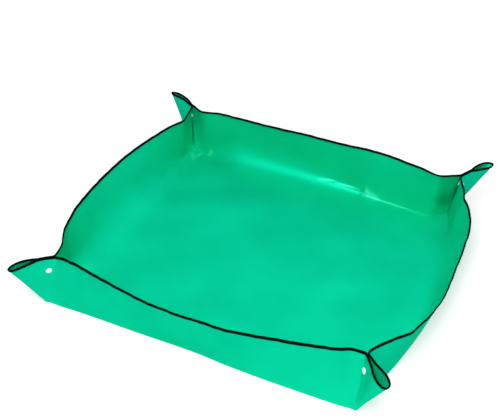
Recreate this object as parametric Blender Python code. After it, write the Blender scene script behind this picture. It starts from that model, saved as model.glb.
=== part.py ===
"""Repotting mat: one square coated sheet, folded up into a tray and held by a press snap at each corner.

The sheet's middle lies flat as the floor. Its four margins stand up as walls, and the spare square at
each corner is pinched into an ear that points outwards. A press snap joins the ear's two leaves. A
folded tape binds the whole edge. Lengths are in metres, with +Z up.
"""

import bpy
import math
import numpy as np
from mathutils import Matrix, Vector

# The sheet and how far up it is folded
SHEET_SIDE = 0.750
SHEET_THICKNESS = 0.0005
FLOOR_LENGTH = 0.558
FLOOR_WIDTH = 0.542
EAR_FOOT_RADIUS = 0.0009
FOOT_FADE_LENGTH = 0.070

# The ear's root on the floor, and the bend where a wall turns into its leaf
ROOT_LENGTH = 0.0030
BEND_LENGTH = 0.0070

# The binding tape
BINDING_WIDTH = 0.0050
TAPE_THICKNESS = 0.0005
TAPE_CLEARANCE = 0.00025
TAPE_JOIN_GAP = 0.0004
RIM_CLEARANCE = 0.0004

# The press snaps
CAP_DIAMETER = 0.0107
CAP_EDGE_THICKNESS = 0.0008
CAP_CROWN = 0.0007
CAP_DIMPLE_DEPTH = 0.0002
CAP_DIMPLE_RADIUS = 0.0012
POST_RADIUS = 0.0007
POST_CLEARANCE = 0.0003
RIVET_RADIUS = 0.0011
RIVET_HEIGHT = 0.0004
SEAT_GAP = 0.0002
STUD_FLANGE_RADIUS = 0.0050
STUD_FLANGE_THICKNESS = 0.0009
KNOB_NECK_RADIUS = 0.0019
KNOB_TIP_RADIUS = 0.0021
KNOB_HEIGHT = 0.0022
RECESS_RADIUS = 0.00145
RECESS_DEPTH = 0.0013
SOCKET_FLANGE_RADIUS = 0.0052
SOCKET_FLANGE_THICKNESS = 0.0009
SOCKET_RING_RADIUS = 0.0040
SOCKET_MOUTH_RADIUS = 0.0024
SOCKET_GROOVE_RADIUS = 0.0026
SOCKET_HEIGHT = 0.0032
HALVES_GAP = 0.0003
SNAP_HEIGHT_SHARE = 0.747

# Counts: the mesh's columns on each stretch, the fine points they are read from, and round segments
WALL_COLUMNS = 14
BEND_COLUMNS = 4
NECK_COLUMNS = 3
LOOP_COLUMNS = 12
WALL_STEPS = 30
NECK_STEPS = 60
LOOP_STEPS = 240
EVEN_STEPS = 3840
LEAF_ROUNDS = 8
ROUND_SEGMENTS = 20
POST_SEGMENTS = 16
SHARP_ANGLE = math.radians(40)

# Colours and roughness, as red, green, blue and alpha
GREEN = (0.010, 0.560, 0.270, 1.0)
BLACK = (0.010, 0.012, 0.011, 1.0)
WHITE = (0.860, 0.880, 0.860, 1.0)
SHEET_ROUGHNESS = 0.35
TAPE_ROUGHNESS = 0.75
SNAP_ROUGHNESS = 0.30

# The sheet's rows: shares of the foot's rounding, then of the wall above it up to the tape's lower edge
FOOT_ROW_SHARES = (-1.0, -0.35, 0.35, 1.0)
WALL_ROW_SHARES = (0.42, 0.84)
# The small step that a direction is measured over, as a share of the foot's rounding
MEASURE_SHARE = 0.05
# How near a bend the plain columns stop, as a share of the bend
BEND_CLEAR_SHARE = 0.75
# How far the loop has opened where its two rims no longer close up
LOOP_OPEN_SHARE = 0.5
# The tape's shoulder over the rim: shares of its crown's height and of its outer face's distance
TAPE_SHOULDER_SHARES = (0.8, 0.6)
# The snap's turned outlines. Cap: shares of its radius and crown, then of its edge's thickness
CAP_CROWN_SHARES = ((0.55, 0.85), (0.85, 0.35))
CAP_EDGE_SHARES = (0.55, 0.2)
CAP_ROLL_SHARE = 0.3
RIVET_SHARES = (0.8, 0.25)
FLANGE_ROLL_SHARE = 0.3
# Stud knob: shares of its height for the neck's end, the widest stretch, and its tip's radius
KNOB_HEIGHT_SHARES = (0.35, 0.6, 0.8)
KNOB_END_SHARE = 0.95
# Socket ring: shares of the ring's height for its root, its rolled edges, and the lip inside its mouth
RING_ROOT_SHARE = 0.1
RING_ROLL_SHARE = 0.2
MOUTH_ROLL_SHARES = (0.1, 0.15)
LIP_SHARES = (0.35, 0.6)

# Sizes that follow from those above
SIDE_WALL = (SHEET_SIDE - FLOOR_LENGTH) / 2
END_WALL = (SHEET_SIDE - FLOOR_WIDTH) / 2
RISE = (SIDE_WALL + END_WALL) / 2
SHEET_LEVEL = SHEET_THICKNESS / 2
SNAP_STACK = STUD_FLANGE_THICKNESS + HALVES_GAP + SOCKET_HEIGHT + 2 * SEAT_GAP
LEAF_OFFSET = (SNAP_STACK + SHEET_THICKNESS) / 2
TAPE_REACH = SHEET_THICKNESS / 2 + TAPE_CLEARANCE + TAPE_THICKNESS
RIM_OFFSET = TAPE_REACH + RIM_CLEARANCE
POST_HOLE_RADIUS = POST_RADIUS + POST_CLEARANCE

# How each corner lies, as shares of RISE, outwards along X and outwards along Y from the corner of the
# floor. Its base is the point where the ear meets the floor. Its neck is where the two walls meet and turn
# outwards as one ear, and its tip is the end of the ear's loop, both with their height as a third share.
# The loop's half width and the bow, by which the ear's rim arches up, are shares of RISE too. The closed
# share is how far the neck goes on past its snap, and a higher power closes the loop's start more slowly.
CORNERS = ("front_left", "front_right", "back_right", "back_left")
CORNER_SIGNS = {"front_left": (-1, -1), "front_right": (1, -1), "back_right": (1, 1), "back_left": (-1, 1)}
BASE_SHARES = {
    "front_left": (0.046, -0.047),
    "front_right": (0.020, 0.045),
    "back_right": (0.0, 0.0),
    "back_left": (0.0, 0.0),
}
NECK_SHARES = {
    "front_left": (-0.186, -0.181, 0.98),
    "front_right": (0.023, -0.239, 0.98),
    "back_right": (0.102, -0.123, 0.98),
    "back_left": (-0.016, 0.045, 1.0),
}
TIP_SHARES = {
    "front_left": (0.33, 0.43, 0.96),
    "front_right": (0.49, 0.31, 0.96),
    "back_right": (0.54, 0.57, 0.96),
    "back_left": (0.61, 0.40, 0.98),
}
LOOP_WIDTH_SHARES = {"front_left": 0.075, "front_right": 0.085, "back_right": 0.08, "back_left": 0.06}
LOOP_POWER_SHARES = {"front_left": 2.2, "front_right": 1.8, "back_right": 2.4, "back_left": 1.9}
BOW_SHARES = {"front_left": 0.05, "front_right": 0.0, "back_right": 0.03, "back_left": 0.04}
CLOSED_SHARES = {"front_left": 0.077, "front_right": 0.027, "back_right": 0.057, "back_left": 0.047}

# How each wall stands between its two corners: the share of the way along its floor edge, the lean outwards
# in degrees, how far its foot has moved outwards, and the radius of its foot, the last two as shares of
# RISE. Front and back run towards +X here, left and right towards +Y.
LEAN_SHARES = {
    "front": ((0.09, -5.0, -0.03, 0.03), (0.22, 2.5, -0.015, 0.03), (0.35, 10.3, -0.007, 0.03),
              (0.50, 15.2, -0.02, 0.03), (0.64, 14.0, 0.05, 0.03), (0.76, 8.3, 0.08, 0.03),
              (0.88, 0.8, 0.077, 0.03), (0.95, -6.0, 0.065, 0.03)),
    "right": ((0.08, 7.5, 0.14, 0.06), (0.12, 16.0, 0.195, 0.08), (0.185, 29.0, 0.26, 0.09),
              (0.30, 40.2, 0.38, 0.16), (0.42, 44.7, 0.43, 0.25), (0.58, 43.9, 0.40, 0.38),
              (0.72, 41.4, 0.30, 0.40), (0.80, 36.5, 0.22, 0.40), (0.86, 25.0, 0.14, 0.30),
              (0.94, 13.0, 0.05, 0.15)),
    "back": ((0.06, -7.0, 0.0, 0.25), (0.13, -3.7, 0.0, 0.30), (0.30, -4.7, 0.0, 0.30),
             (0.45, -3.9, 0.0, 0.28), (0.60, -5.2, 0.0, 0.24), (0.74, -5.2, 0.0, 0.07),
             (0.83, -9.2, 0.0, 0.035), (0.90, -13.1, 0.0, 0.035), (0.955, -16.8, 0.0, 0.035)),
    "left": ((0.08, -6.9, 0.0, 0.25), (0.125, 0.0, 0.0, 0.35), (0.19, 9.8, 0.0, 0.45),
             (0.28, 18.0, 0.0, 0.45), (0.40, 26.2, 0.0, 0.45), (0.52, 27.0, 0.0, 0.45),
             (0.64, 22.4, 0.0, 0.45), (0.78, 10.5, 0.0, 0.45), (0.88, 0.5, 0.0, 0.45),
             (0.94, -4.0, 0.0, 0.35)),
}


def clear_scene():
    for item in list(bpy.data.objects):
        bpy.data.objects.remove(item, do_unlink=True)


def make_material(name, colour, roughness):
    material = bpy.data.materials.new(name)
    material.use_nodes = True
    shader = material.node_tree.nodes["Principled BSDF"]
    shader.inputs["Base Color"].default_value = colour
    shader.inputs["Roughness"].default_value = roughness
    shader.inputs["Metallic"].default_value = 0.0
    return material


def smooth_step(value):
    held = np.clip(value, 0.0, 1.0)
    return held * held * (3.0 - 2.0 * held)


def curve_through(knots, steps):
    """A centripetal Catmull-Rom curve through the rows of knots, whose first three columns are the place."""
    knots = np.asarray(knots, float)
    ends = (2 * knots[0] - knots[1], 2 * knots[-1] - knots[-2])
    points = np.vstack([ends[0], knots, ends[1]])
    gaps = np.sqrt(np.linalg.norm(np.diff(points[:, :3], axis=0), axis=1))
    times = np.concatenate([[0.0], np.cumsum(gaps)])
    rows = []
    for first in range(len(knots) - 1):
        p0, p1, p2, p3 = points[first:first + 4]
        t0, t1, t2, t3 = times[first:first + 4]
        t = np.linspace(t1, t2, steps, endpoint=False)[:, None]
        a1 = (t1 - t) / (t1 - t0) * p0 + (t - t0) / (t1 - t0) * p1
        a2 = (t2 - t) / (t2 - t1) * p1 + (t - t1) / (t2 - t1) * p2
        a3 = (t3 - t) / (t3 - t2) * p2 + (t - t2) / (t3 - t2) * p3
        b1 = (t2 - t) / (t2 - t0) * a1 + (t - t0) / (t2 - t0) * a2
        b2 = (t3 - t) / (t3 - t1) * a2 + (t - t1) / (t3 - t1) * a3
        rows.append((t2 - t) / (t2 - t1) * b1 + (t - t1) / (t2 - t1) * b2)
    rows.append(knots[-1:])
    return np.vstack(rows)


class Corner:
    """The places and directions that one ear and its snap are built from."""

    def __init__(self, name):
        sign_x, sign_y = CORNER_SIGNS[name]
        sign = np.array([sign_x, sign_y, 1.0])
        self.name = name
        floor_corner = np.array([sign_x * FLOOR_LENGTH / 2, sign_y * FLOOR_WIDTH / 2, SHEET_LEVEL])
        self.base = floor_corner + np.array([*BASE_SHARES[name], 0.0]) * sign * RISE
        neck = np.array(NECK_SHARES[name]) * sign * RISE
        tip = np.array(TIP_SHARES[name]) * sign * RISE
        self.neck = floor_corner + neck
        self.bow = BOW_SHARES[name] * RISE
        reach = (tip - neck)[:2]
        self.reach = float(np.linalg.norm(reach))
        self.drop = tip[2] - neck[2]
        self.out = np.append(reach / self.reach, 0.0)
        # Across the ear, towards the leaf that continues the front or back wall
        self.across = np.array([-sign_x * abs(self.out[1]), sign_y * abs(self.out[0]), 0.0])
        self.half = LEAF_OFFSET
        # The leaves tilt with the neck, so the spacing that seats the snap between them is found in rounds
        for _ in range(LEAF_ROUNDS):
            root = self.base - self.half * abs(self.out[[1, 0, 2]]) * sign * np.array([1.0, 1.0, 0.0])
            rise = self.neck - root
            axis = np.cross(self.out, rise)
            axis = axis / np.linalg.norm(axis)
            self.axis = axis * np.sign(axis @ self.across)
            self.half = LEAF_OFFSET / float(self.axis @ self.across)
        self.root = root
        self.upward = rise / np.linalg.norm(rise)
        self.end_root = root + self.half * self.across
        self.side_root = root - self.half * self.across
        flat = CAP_DIAMETER + BEND_LENGTH
        self.neck_length = flat / SNAP_HEIGHT_SHARE + CLOSED_SHARES[name] * RISE
        self.snap = root + SNAP_HEIGHT_SHARE * rise + self.out * flat / 2

    def leaf(self, share, side):
        """Root and rim points along one leaf's straight neck, with share running outwards from 0 to 1."""
        start = self.end_root if side > 0 else self.side_root
        root = start + np.outer(share, self.out) * ROOT_LENGTH
        rim = self.neck + side * self.half * self.across + np.outer(share, self.out) * self.neck_length
        lift = self.bow * np.sin(math.pi * share * self.neck_length / self.reach)
        return root, rim + np.outer(lift, self.upward)

    def loop(self, turn):
        """Root and rim points round the loop; turn runs from 0 on the end leaf to pi on the side leaf."""
        swing = np.minimum(turn, math.pi - turn)
        side = np.cos(turn)
        root = (self.root + self.out * ROOT_LENGTH
                + self.half * (np.outer(side, self.across) + np.outer(np.sin(turn), self.out)))
        power = LOOP_POWER_SHARES[self.name]
        peak = math.atan(math.sqrt(power))
        crest = math.sin(peak) ** power * math.cos(peak)
        half_width = LOOP_WIDTH_SHARES[self.name] * RISE
        width = self.half * side + half_width / crest * np.sin(swing) ** power * side
        along = self.neck_length + (self.reach - self.neck_length) * np.sin(swing) ** 2
        rim = self.neck + np.outer(along, self.out) + np.outer(width, self.across)
        rim[:, 2] += self.drop * np.sin(swing) ** 2
        lift = self.bow * np.sin(math.pi * along / self.reach)
        return root, rim + np.outer(lift, self.upward)


def wall_run(name, first, last):
    """Root and rim points of one wall, from its first corner's leaf to its last corner's, and foot radii."""
    along_x = name in ("front", "back")
    start = first.end_root if along_x else first.side_root
    stop = last.end_root if along_x else last.side_root
    side = 1.0 if along_x else -1.0
    outward = {"front": (0, -1, 0), "back": (0, 1, 0), "left": (-1, 0, 0), "right": (1, 0, 0)}[name]
    outward = np.array(outward, float)
    slant = END_WALL if along_x else SIDE_WALL
    axis = 0 if along_x else 1
    half_floor = np.array([FLOOR_LENGTH / 2, FLOOR_WIDTH / 2])
    rows = []
    for share, lean, moved, radius in LEAN_SHARES[name]:
        foot = outward * np.append(half_floor, 0.0)
        foot[axis] = (2 * share - 1) * half_floor[axis]
        foot[2] = SHEET_LEVEL
        lean = math.radians(lean)
        rim = foot + slant * (math.sin(lean) * outward + math.cos(lean) * np.array([0.0, 0.0, 1.0]))
        rows.append(np.concatenate([rim, foot + moved * RISE * outward, [radius * RISE]]))
    if first.base[axis] > last.base[axis]:
        rows.reverse()
    rows.insert(0, np.concatenate([first.neck + side * first.half * first.across, start, rows[0][6:]]))
    rows.append(np.concatenate([last.neck + side * last.half * last.across, stop, rows[-1][6:]]))
    run = curve_through(rows, WALL_STEPS)
    return run[:, 3:6], run[:, :3], run[:, 6]


def sheet_outline(corners):
    """The root line and the rim line all the way round, as fine matching points.

    Round from the front wall's left end: front wall, front right ear, right wall, and so on. Each row
    is a root point, a rim point, how far the point takes part in the neck (1 on the end leaf, -1 on the
    side leaf), its distance along the root line from the nearest ear, and its foot's radius. Beside them
    come the places where the mesh wants its columns, as row numbers, and the rows where a wall turns into
    a leaf.
    """
    order = (("front", "front_left", "front_right"), ("right", "front_right", "back_right"),
             ("back", "back_right", "back_left"), ("left", "back_left", "front_left"))
    share = np.linspace(0.0, 1.0, NECK_STEPS, endpoint=False)
    turn = np.linspace(0.0, math.pi, LOOP_STEPS, endpoint=False)
    blocks, columns, bends, count = [], [], [], 0
    for wall, first, last in order:
        root, rim, radius = wall_run(wall, corners[first], corners[last])
        walked = np.concatenate([[0.0], np.cumsum(np.linalg.norm(np.diff(root, axis=0), axis=1))])
        from_ear = np.minimum(walked, walked[-1] - walked)
        rows = np.column_stack([root, rim, np.zeros(len(root)), from_ear, radius])[:-1]
        blocks.append(rows)
        columns += list(count + len(rows) * (np.arange(WALL_COLUMNS) + 0.5) / WALL_COLUMNS)
        bends.append(count)
        count += len(rows)
        bends.append(count)
        ear = corners[last]
        side = 1.0 if wall in ("front", "back") else -1.0
        near, far = ear.leaf(share, side), ear.leaf(1.0 - share, -side)
        middle = ear.loop(turn if side > 0 else math.pi - turn)
        open_up = smooth_step(np.sin(turn) / LOOP_OPEN_SHARE)
        for (root, rim), wanted, part in (
                (near, NECK_COLUMNS, side * np.ones_like(share)),
                (middle, LOOP_COLUMNS, side * np.sign(np.cos(turn)) * (1.0 - open_up)),
                (far, NECK_COLUMNS, -side * np.ones_like(share))):
            none = np.zeros(len(part))
            blocks.append(np.column_stack([root, rim, part, none, none + EAR_FOOT_RADIUS]))
            # The near neck starts on the wall's bend, which has columns of its own
            first_column = 1 if wanted == NECK_COLUMNS and part[0] == side else 0
            columns += list(count + len(part) * np.arange(first_column, wanted) / wanted)
            count += len(part)
    return np.vstack(blocks), np.array(sorted(columns)), np.array(bends)


def walked_along(line):
    """Distance along a closed line to each of its points, and its whole length as the last value."""
    step = np.linalg.norm(np.roll(line, -1, axis=0) - line, axis=1)
    return np.concatenate([[0.0], np.cumsum(step)])


def rounded(values, length, window):
    """Round every kink in closed, even values by a running average that is one window long."""
    reach = max(1, int(round(window / length * len(values) / 2)))
    weights = np.hanning(2 * reach + 3)[1:-1]
    weights = weights / weights.sum()
    padded = np.vstack([values[-reach:], values, values[:reach]])
    return np.stack([np.convolve(padded[:, k], weights, "valid") for k in range(values.shape[1])], axis=1)


def read_closed(values, places):
    """Read closed, even values at places given as fractions of the way round."""
    closed = np.vstack([values, values[:1]])
    at = (places % 1.0) * len(values)
    rows = np.arange(len(closed))
    return np.stack([np.interp(at, rows, closed[:, k]) for k in range(closed.shape[1])], axis=1)


class SheetSurface:
    """The folded sheet's middle surface: a point for each column and distance up the wall."""

    def __init__(self, corners):
        fine, columns, bends = sheet_outline(corners)
        walked = walked_along(fine[:, 3:6])
        length = walked[-1]
        steps = np.linspace(0.0, length, EVEN_STEPS, endpoint=False)
        closed = np.vstack([fine, fine[:1]])
        even = np.stack([np.interp(steps, walked, closed[:, k]) for k in range(closed.shape[1])], axis=1)
        even = rounded(even, length, BEND_LENGTH)
        # Columns keep off each bend, which gets its own closer ones
        places = np.interp(columns, np.arange(len(walked)), walked)
        turns = walked[bends]
        away = np.abs((places[:, None] - turns[None, :] + length / 2) % length - length / 2).min(axis=1)
        places = places[away > BEND_LENGTH * BEND_CLEAR_SHARE]
        spread = (np.arange(BEND_COLUMNS) / (BEND_COLUMNS - 1) - 0.5) * BEND_LENGTH
        places = np.sort(np.concatenate([places, (turns[:, None] + spread[None, :]).ravel() % length])) / length
        table = read_closed(even, places)
        self.root, self.rim = table[:, :3], table[:, 3:6]
        nearby = 1.0 / EVEN_STEPS
        tangent = (read_closed(even, places + nearby) - read_closed(even, places - nearby))[:, :3]
        outward = np.column_stack([tangent[:, 1], -tangent[:, 0], np.zeros(len(tangent))])
        self.outward = outward / np.linalg.norm(outward, axis=1)[:, None]
        fade = smooth_step(table[:, 7] / FOOT_FADE_LENGTH)
        self.foot = EAR_FOOT_RADIUS + (table[:, 8] - EAR_FOOT_RADIUS) * fade
        rise = self.rim - self.root
        self.slant = np.linalg.norm(rise, axis=1)
        self.up = rise / self.slant[:, None]
        # Towards the ear's middle plane, for the last stretch where the two rims close up
        nearest = np.array([min(corners.values(), key=lambda ear: np.linalg.norm(ear.neck - point)).across
                            for point in self.rim])
        self.pinch = -nearest * (table[:, 6] * (LEAF_OFFSET - RIM_OFFSET))[:, None]

    def point(self, height):
        """Place at each column, height being the distance past the floor's edge line, one per column."""
        # A parabola as wide as the foot on each side leads from the flat floor into the straight wall
        foot = self.foot
        bend = (np.clip(height, -foot, foot) + foot) ** 2 / (4 * foot)
        ramp = np.maximum(bend, height)
        back = ramp - height
        close_from = (1.0 + SNAP_HEIGHT_SHARE) / 2
        closing = smooth_step((height / self.slant - close_from) / (1.0 - close_from))
        return self.root + self.up * ramp[:, None] - self.outward * back[:, None] + self.pinch * closing[:, None]

    def frame(self, height):
        """The normal that faces the tray's inside and the direction up the wall, at a height."""
        step = self.foot * MEASURE_SHARE
        up = self.point(height + step) - self.point(height - step)
        up = up / np.linalg.norm(up, axis=1)[:, None]
        place = self.point(height)
        along = np.roll(place, -1, axis=0) - np.roll(place, 1, axis=0)
        normal = np.cross(up, along)
        return normal / np.linalg.norm(normal, axis=1)[:, None], up


def add_mesh(name, vertices, faces, material, holder):
    mesh = bpy.data.meshes.new(name)
    mesh.from_pydata([tuple(v) for v in vertices], [], faces)
    mesh.validate()
    mesh.shade_smooth()
    mesh.set_sharp_from_angle(angle=SHARP_ANGLE)
    mesh.materials.append(material)
    body = bpy.data.objects.new(name, mesh)
    bpy.context.collection.objects.link(body)
    body.parent = holder
    return body


def split_quad(a, b, c, d, flip=False):
    """Two triangles that share the edge from a to c, so that tape and sheet twist alike."""
    halves = [[a, b, c], [a, c, d]]
    return [half[::-1] for half in halves] if flip else halves


def build_sheet(surface, corners, material, holder):
    """Both faces of the sheet, joined round the rim, with the floor as one flat face on each side."""
    foot, slant = surface.foot, surface.slant
    tape_edge = slant - BINDING_WIDTH
    heights = [foot * share for share in FOOT_ROW_SHARES]
    heights += [foot + (tape_edge - foot) * share for share in WALL_ROW_SHARES]
    heights += [tape_edge, slant]
    top, under = [], []
    for row, height in enumerate(heights):
        place = surface.point(height)
        if row == 0:
            normal = np.tile([0.0, 0.0, 1.0], (len(place), 1))
        else:
            normal = surface.frame(height)[0]
        top.append(place + normal * SHEET_THICKNESS / 2)
        under.append(place - normal * SHEET_THICKNESS / 2)
    columns, rows = len(foot), len(heights)
    vertices = np.vstack(top + under)
    start = rows * columns
    faces = [list(range(columns)), list(range(start + columns - 1, start - 1, -1))]
    for row in range(rows - 1):
        for column in range(columns):
            after = (column + 1) % columns
            a, b = row * columns + column, row * columns + after
            c, d = a + columns, b + columns
            faces += split_quad(a, c, d, b)
            faces += split_quad(start + a, start + c, start + d, start + b, flip=True)
    for column in range(columns):
        after = (column + 1) % columns
        a, b = (rows - 1) * columns + column, (rows - 1) * columns + after
        faces.append([a, start + a, start + b, b])
    sheet = add_mesh("tarp_sheet", vertices, faces, material, holder)
    for corner in corners.values():
        cutter = post_cutter(corner, holder)
        cut = sheet.modifiers.new("post_holes_" + corner.name, "BOOLEAN")
        cut.operation = "DIFFERENCE"
        cut.object = cutter
        cut.solver = "EXACT"
    return sheet


def build_binding(surface, material, holder):
    """A tape folded over the rim, as a U carried all round it, with a butt join in the back wall."""
    slant = surface.slant
    face = SHEET_THICKNESS / 2 + TAPE_CLEARANCE
    outer = face + TAPE_THICKNESS
    crown = TAPE_CLEARANCE + TAPE_THICKNESS
    low = slant - BINDING_WIDTH
    place_rim = surface.point(slant)
    normal_rim, up_rim = surface.frame(slant)
    place_low = surface.point(low)
    normal_low = surface.frame(low)[0]
    raised, drawn_in = TAPE_SHOULDER_SHARES
    ring = [
        place_low + normal_low * outer,
        place_rim + normal_rim * outer,
        place_rim + up_rim * crown * raised + normal_rim * outer * drawn_in,
        place_rim + up_rim * crown,
        place_rim + up_rim * crown * raised - normal_rim * outer * drawn_in,
        place_rim - normal_rim * outer,
        place_low - normal_low * outer,
        place_low - normal_low * face,
        place_rim - normal_rim * face + up_rim * TAPE_CLEARANCE,
        place_rim + normal_rim * face + up_rim * TAPE_CLEARANCE,
        place_low + normal_low * face,
    ]
    # The two strips that run down from the rim take the other diagonal, so they twist as the sheet does
    downward = (5, 9)
    columns = len(slant)
    backmost = int(np.argmax(surface.root[:, 1] - 2 * np.abs(surface.root[:, 0])))
    order = np.roll(np.arange(columns), -backmost)
    loops = np.stack(ring, axis=1)[order]
    gap = loops[1] - loops[0]
    gap = gap * (TAPE_JOIN_GAP / np.linalg.norm(gap, axis=1).mean())
    loops = np.vstack([loops, (loops[0] - gap)[None]])
    count, size = loops.shape[:2]
    vertices = loops.reshape(-1, 3)
    faces = []
    for column in range(count - 1):
        for k in range(size):
            a = column * size + k
            b = column * size + (k + 1) % size
            if k in downward:
                faces += split_quad(b, b + size, a + size, a)
            else:
                faces += split_quad(a, b, b + size, a + size)
    faces.append(list(reversed(range(size))))
    faces.append([(count - 1) * size + k for k in range(size)])
    return add_mesh("edge_binding", vertices, faces, material, holder)


def snap_matrix(corner, flip):
    """Local +Z runs from the snap's middle towards the stud's leaf, or the other way when flipped."""
    z_axis = Vector(corner.axis) * (-1 if flip else 1)
    x_axis = Vector(corner.out)
    y_axis = z_axis.cross(x_axis)
    turn = Matrix((x_axis, y_axis, z_axis)).transposed().to_4x4()
    return Matrix.Translation(Vector(corner.snap)) @ turn


def turned(name, outline, segments, material, holder, matrix):
    """A solid of revolution about local Z; the outline is radius and height, outer side top to bottom."""
    vertices, faces, rings = [], [], []
    for radius, height in outline:
        if radius == 0:
            rings.append([len(vertices)])
            vertices.append((0.0, 0.0, height))
            continue
        ring = []
        for k in range(segments):
            angle = 2 * math.pi * k / segments
            ring.append(len(vertices))
            vertices.append((radius * math.cos(angle), radius * math.sin(angle), height))
        rings.append(ring)
    closed = outline[0][0] != 0
    pairs = list(zip(rings, rings[1:] + rings[:1])) if closed else list(zip(rings, rings[1:]))
    for upper, lower in pairs:
        for k in range(segments):
            after = (k + 1) % segments
            if len(upper) == 1:
                faces.append([upper[0], lower[k], lower[after]])
            elif len(lower) == 1:
                faces.append([upper[k], lower[0], upper[after]])
            else:
                faces.append([upper[k], lower[k], lower[after], upper[after]])
    body = add_mesh(name, vertices, faces, material, holder)
    body.matrix_local = matrix
    return body


def cap_outline(rivet_seat):
    """A domed cap with its post, pressed into a rivet head at rivet_seat below the snap's middle plane."""
    inner = LEAF_OFFSET + SHEET_THICKNESS / 2 + SEAT_GAP
    radius = CAP_DIAMETER / 2
    rim = inner + CAP_EDGE_THICKNESS
    crown = rim + CAP_CROWN
    head = rivet_seat - SEAT_GAP / 2
    head_width, head_rim = RIVET_SHARES
    dome = [(radius * wide, rim + CAP_CROWN * high) for wide, high in CAP_CROWN_SHARES]
    edge = [(radius, inner + CAP_EDGE_THICKNESS * high) for high in CAP_EDGE_SHARES]
    return [(0.0, crown - CAP_DIMPLE_DEPTH), (CAP_DIMPLE_RADIUS, crown)] + dome + edge + [
        (radius - CAP_EDGE_THICKNESS * CAP_ROLL_SHARE, inner),
        (POST_RADIUS, inner),
        (POST_RADIUS, head),
        (RIVET_RADIUS, head - RIVET_HEIGHT * head_rim),
        (RIVET_RADIUS * head_width, head - RIVET_HEIGHT),
        (0.0, head - RIVET_HEIGHT),
    ]


def stud_outline():
    """The stud: a flange against the leaf, and a knob with a recess that takes the post's rivet head."""
    seat = LEAF_OFFSET - SHEET_THICKNESS / 2 - SEAT_GAP
    face = seat - STUD_FLANGE_THICKNESS
    roll = STUD_FLANGE_THICKNESS * FLANGE_ROLL_SHARE
    tip = face - KNOB_HEIGHT
    neck_end, bulge_start, bulge_end = [face - KNOB_HEIGHT * share for share in KNOB_HEIGHT_SHARES]
    return [
        (POST_HOLE_RADIUS, seat),
        (STUD_FLANGE_RADIUS, seat),
        (STUD_FLANGE_RADIUS, face + roll),
        (STUD_FLANGE_RADIUS - roll, face),
        (KNOB_NECK_RADIUS, face),
        (KNOB_NECK_RADIUS, neck_end),
        (KNOB_TIP_RADIUS, bulge_start),
        (KNOB_TIP_RADIUS, bulge_end),
        (KNOB_NECK_RADIUS * KNOB_END_SHARE, tip),
        (RECESS_RADIUS, tip),
        (RECESS_RADIUS, tip + RECESS_DEPTH),
        (POST_HOLE_RADIUS, tip + RECESS_DEPTH),
    ]


def socket_outline():
    """The socket, in its own flipped frame: a flange against its leaf and a ring that grips the knob."""
    seat = LEAF_OFFSET - SHEET_THICKNESS / 2 - SEAT_GAP
    face = seat - SOCKET_FLANGE_THICKNESS
    mouth = seat - SOCKET_HEIGHT
    depth = face - mouth
    flange_roll = SOCKET_FLANGE_THICKNESS * FLANGE_ROLL_SHARE
    ring_roll = depth * RING_ROLL_SHARE
    mouth_roll_out, mouth_roll_in = [depth * share for share in MOUTH_ROLL_SHARES]
    lip_start, lip_end = [mouth + depth * share for share in LIP_SHARES]
    return [
        (POST_HOLE_RADIUS, seat),
        (SOCKET_FLANGE_RADIUS, seat),
        (SOCKET_FLANGE_RADIUS, face + flange_roll),
        (SOCKET_FLANGE_RADIUS - flange_roll, face),
        (SOCKET_RING_RADIUS, face - depth * RING_ROOT_SHARE),
        (SOCKET_RING_RADIUS, mouth + ring_roll),
        (SOCKET_RING_RADIUS - ring_roll, mouth),
        (SOCKET_MOUTH_RADIUS + mouth_roll_out, mouth),
        (SOCKET_MOUTH_RADIUS, mouth + mouth_roll_in),
        (SOCKET_MOUTH_RADIUS, lip_start),
        (SOCKET_GROOVE_RADIUS, lip_end),
        (SOCKET_GROOVE_RADIUS, face),
        (POST_HOLE_RADIUS, face),
    ]


def post_cutter(corner, holder):
    """One bar through both leaves, which cuts the holes that the two posts pass through."""
    reach = LEAF_OFFSET + SHEET_THICKNESS
    outline = [(0.0, reach), (POST_HOLE_RADIUS, reach), (POST_HOLE_RADIUS, -reach), (0.0, -reach)]
    matrix = snap_matrix(corner, False)
    bar = turned("cut_" + corner.name, outline, POST_SEGMENTS, None, holder, matrix)
    bar.hide_render = True
    bar.display_type = "WIRE"
    return bar


def build_snap(corner, material, holder):
    """Cap and stud on the front or back wall's leaf, socket and its cap on the side wall's leaf."""
    seat = LEAF_OFFSET - SHEET_THICKNESS / 2 - SEAT_GAP
    stud_seat = seat - STUD_FLANGE_THICKNESS - KNOB_HEIGHT + RECESS_DEPTH
    socket_seat = seat - SOCKET_FLANGE_THICKNESS
    pieces = (("stud_cap", cap_outline(stud_seat), False), ("stud", stud_outline(), False),
              ("socket_cap", cap_outline(socket_seat), True), ("socket", socket_outline(), True))
    for piece, outline, flip in pieces:
        name = corner.name + "_" + piece
        turned(name, outline, ROUND_SEGMENTS, material, holder, snap_matrix(corner, flip))


def world_box(bodies):
    points = np.vstack([[tuple(body.matrix_world @ v.co) for v in body.data.vertices] for body in bodies])
    return points.min(axis=0), points.max(axis=0)


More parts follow.
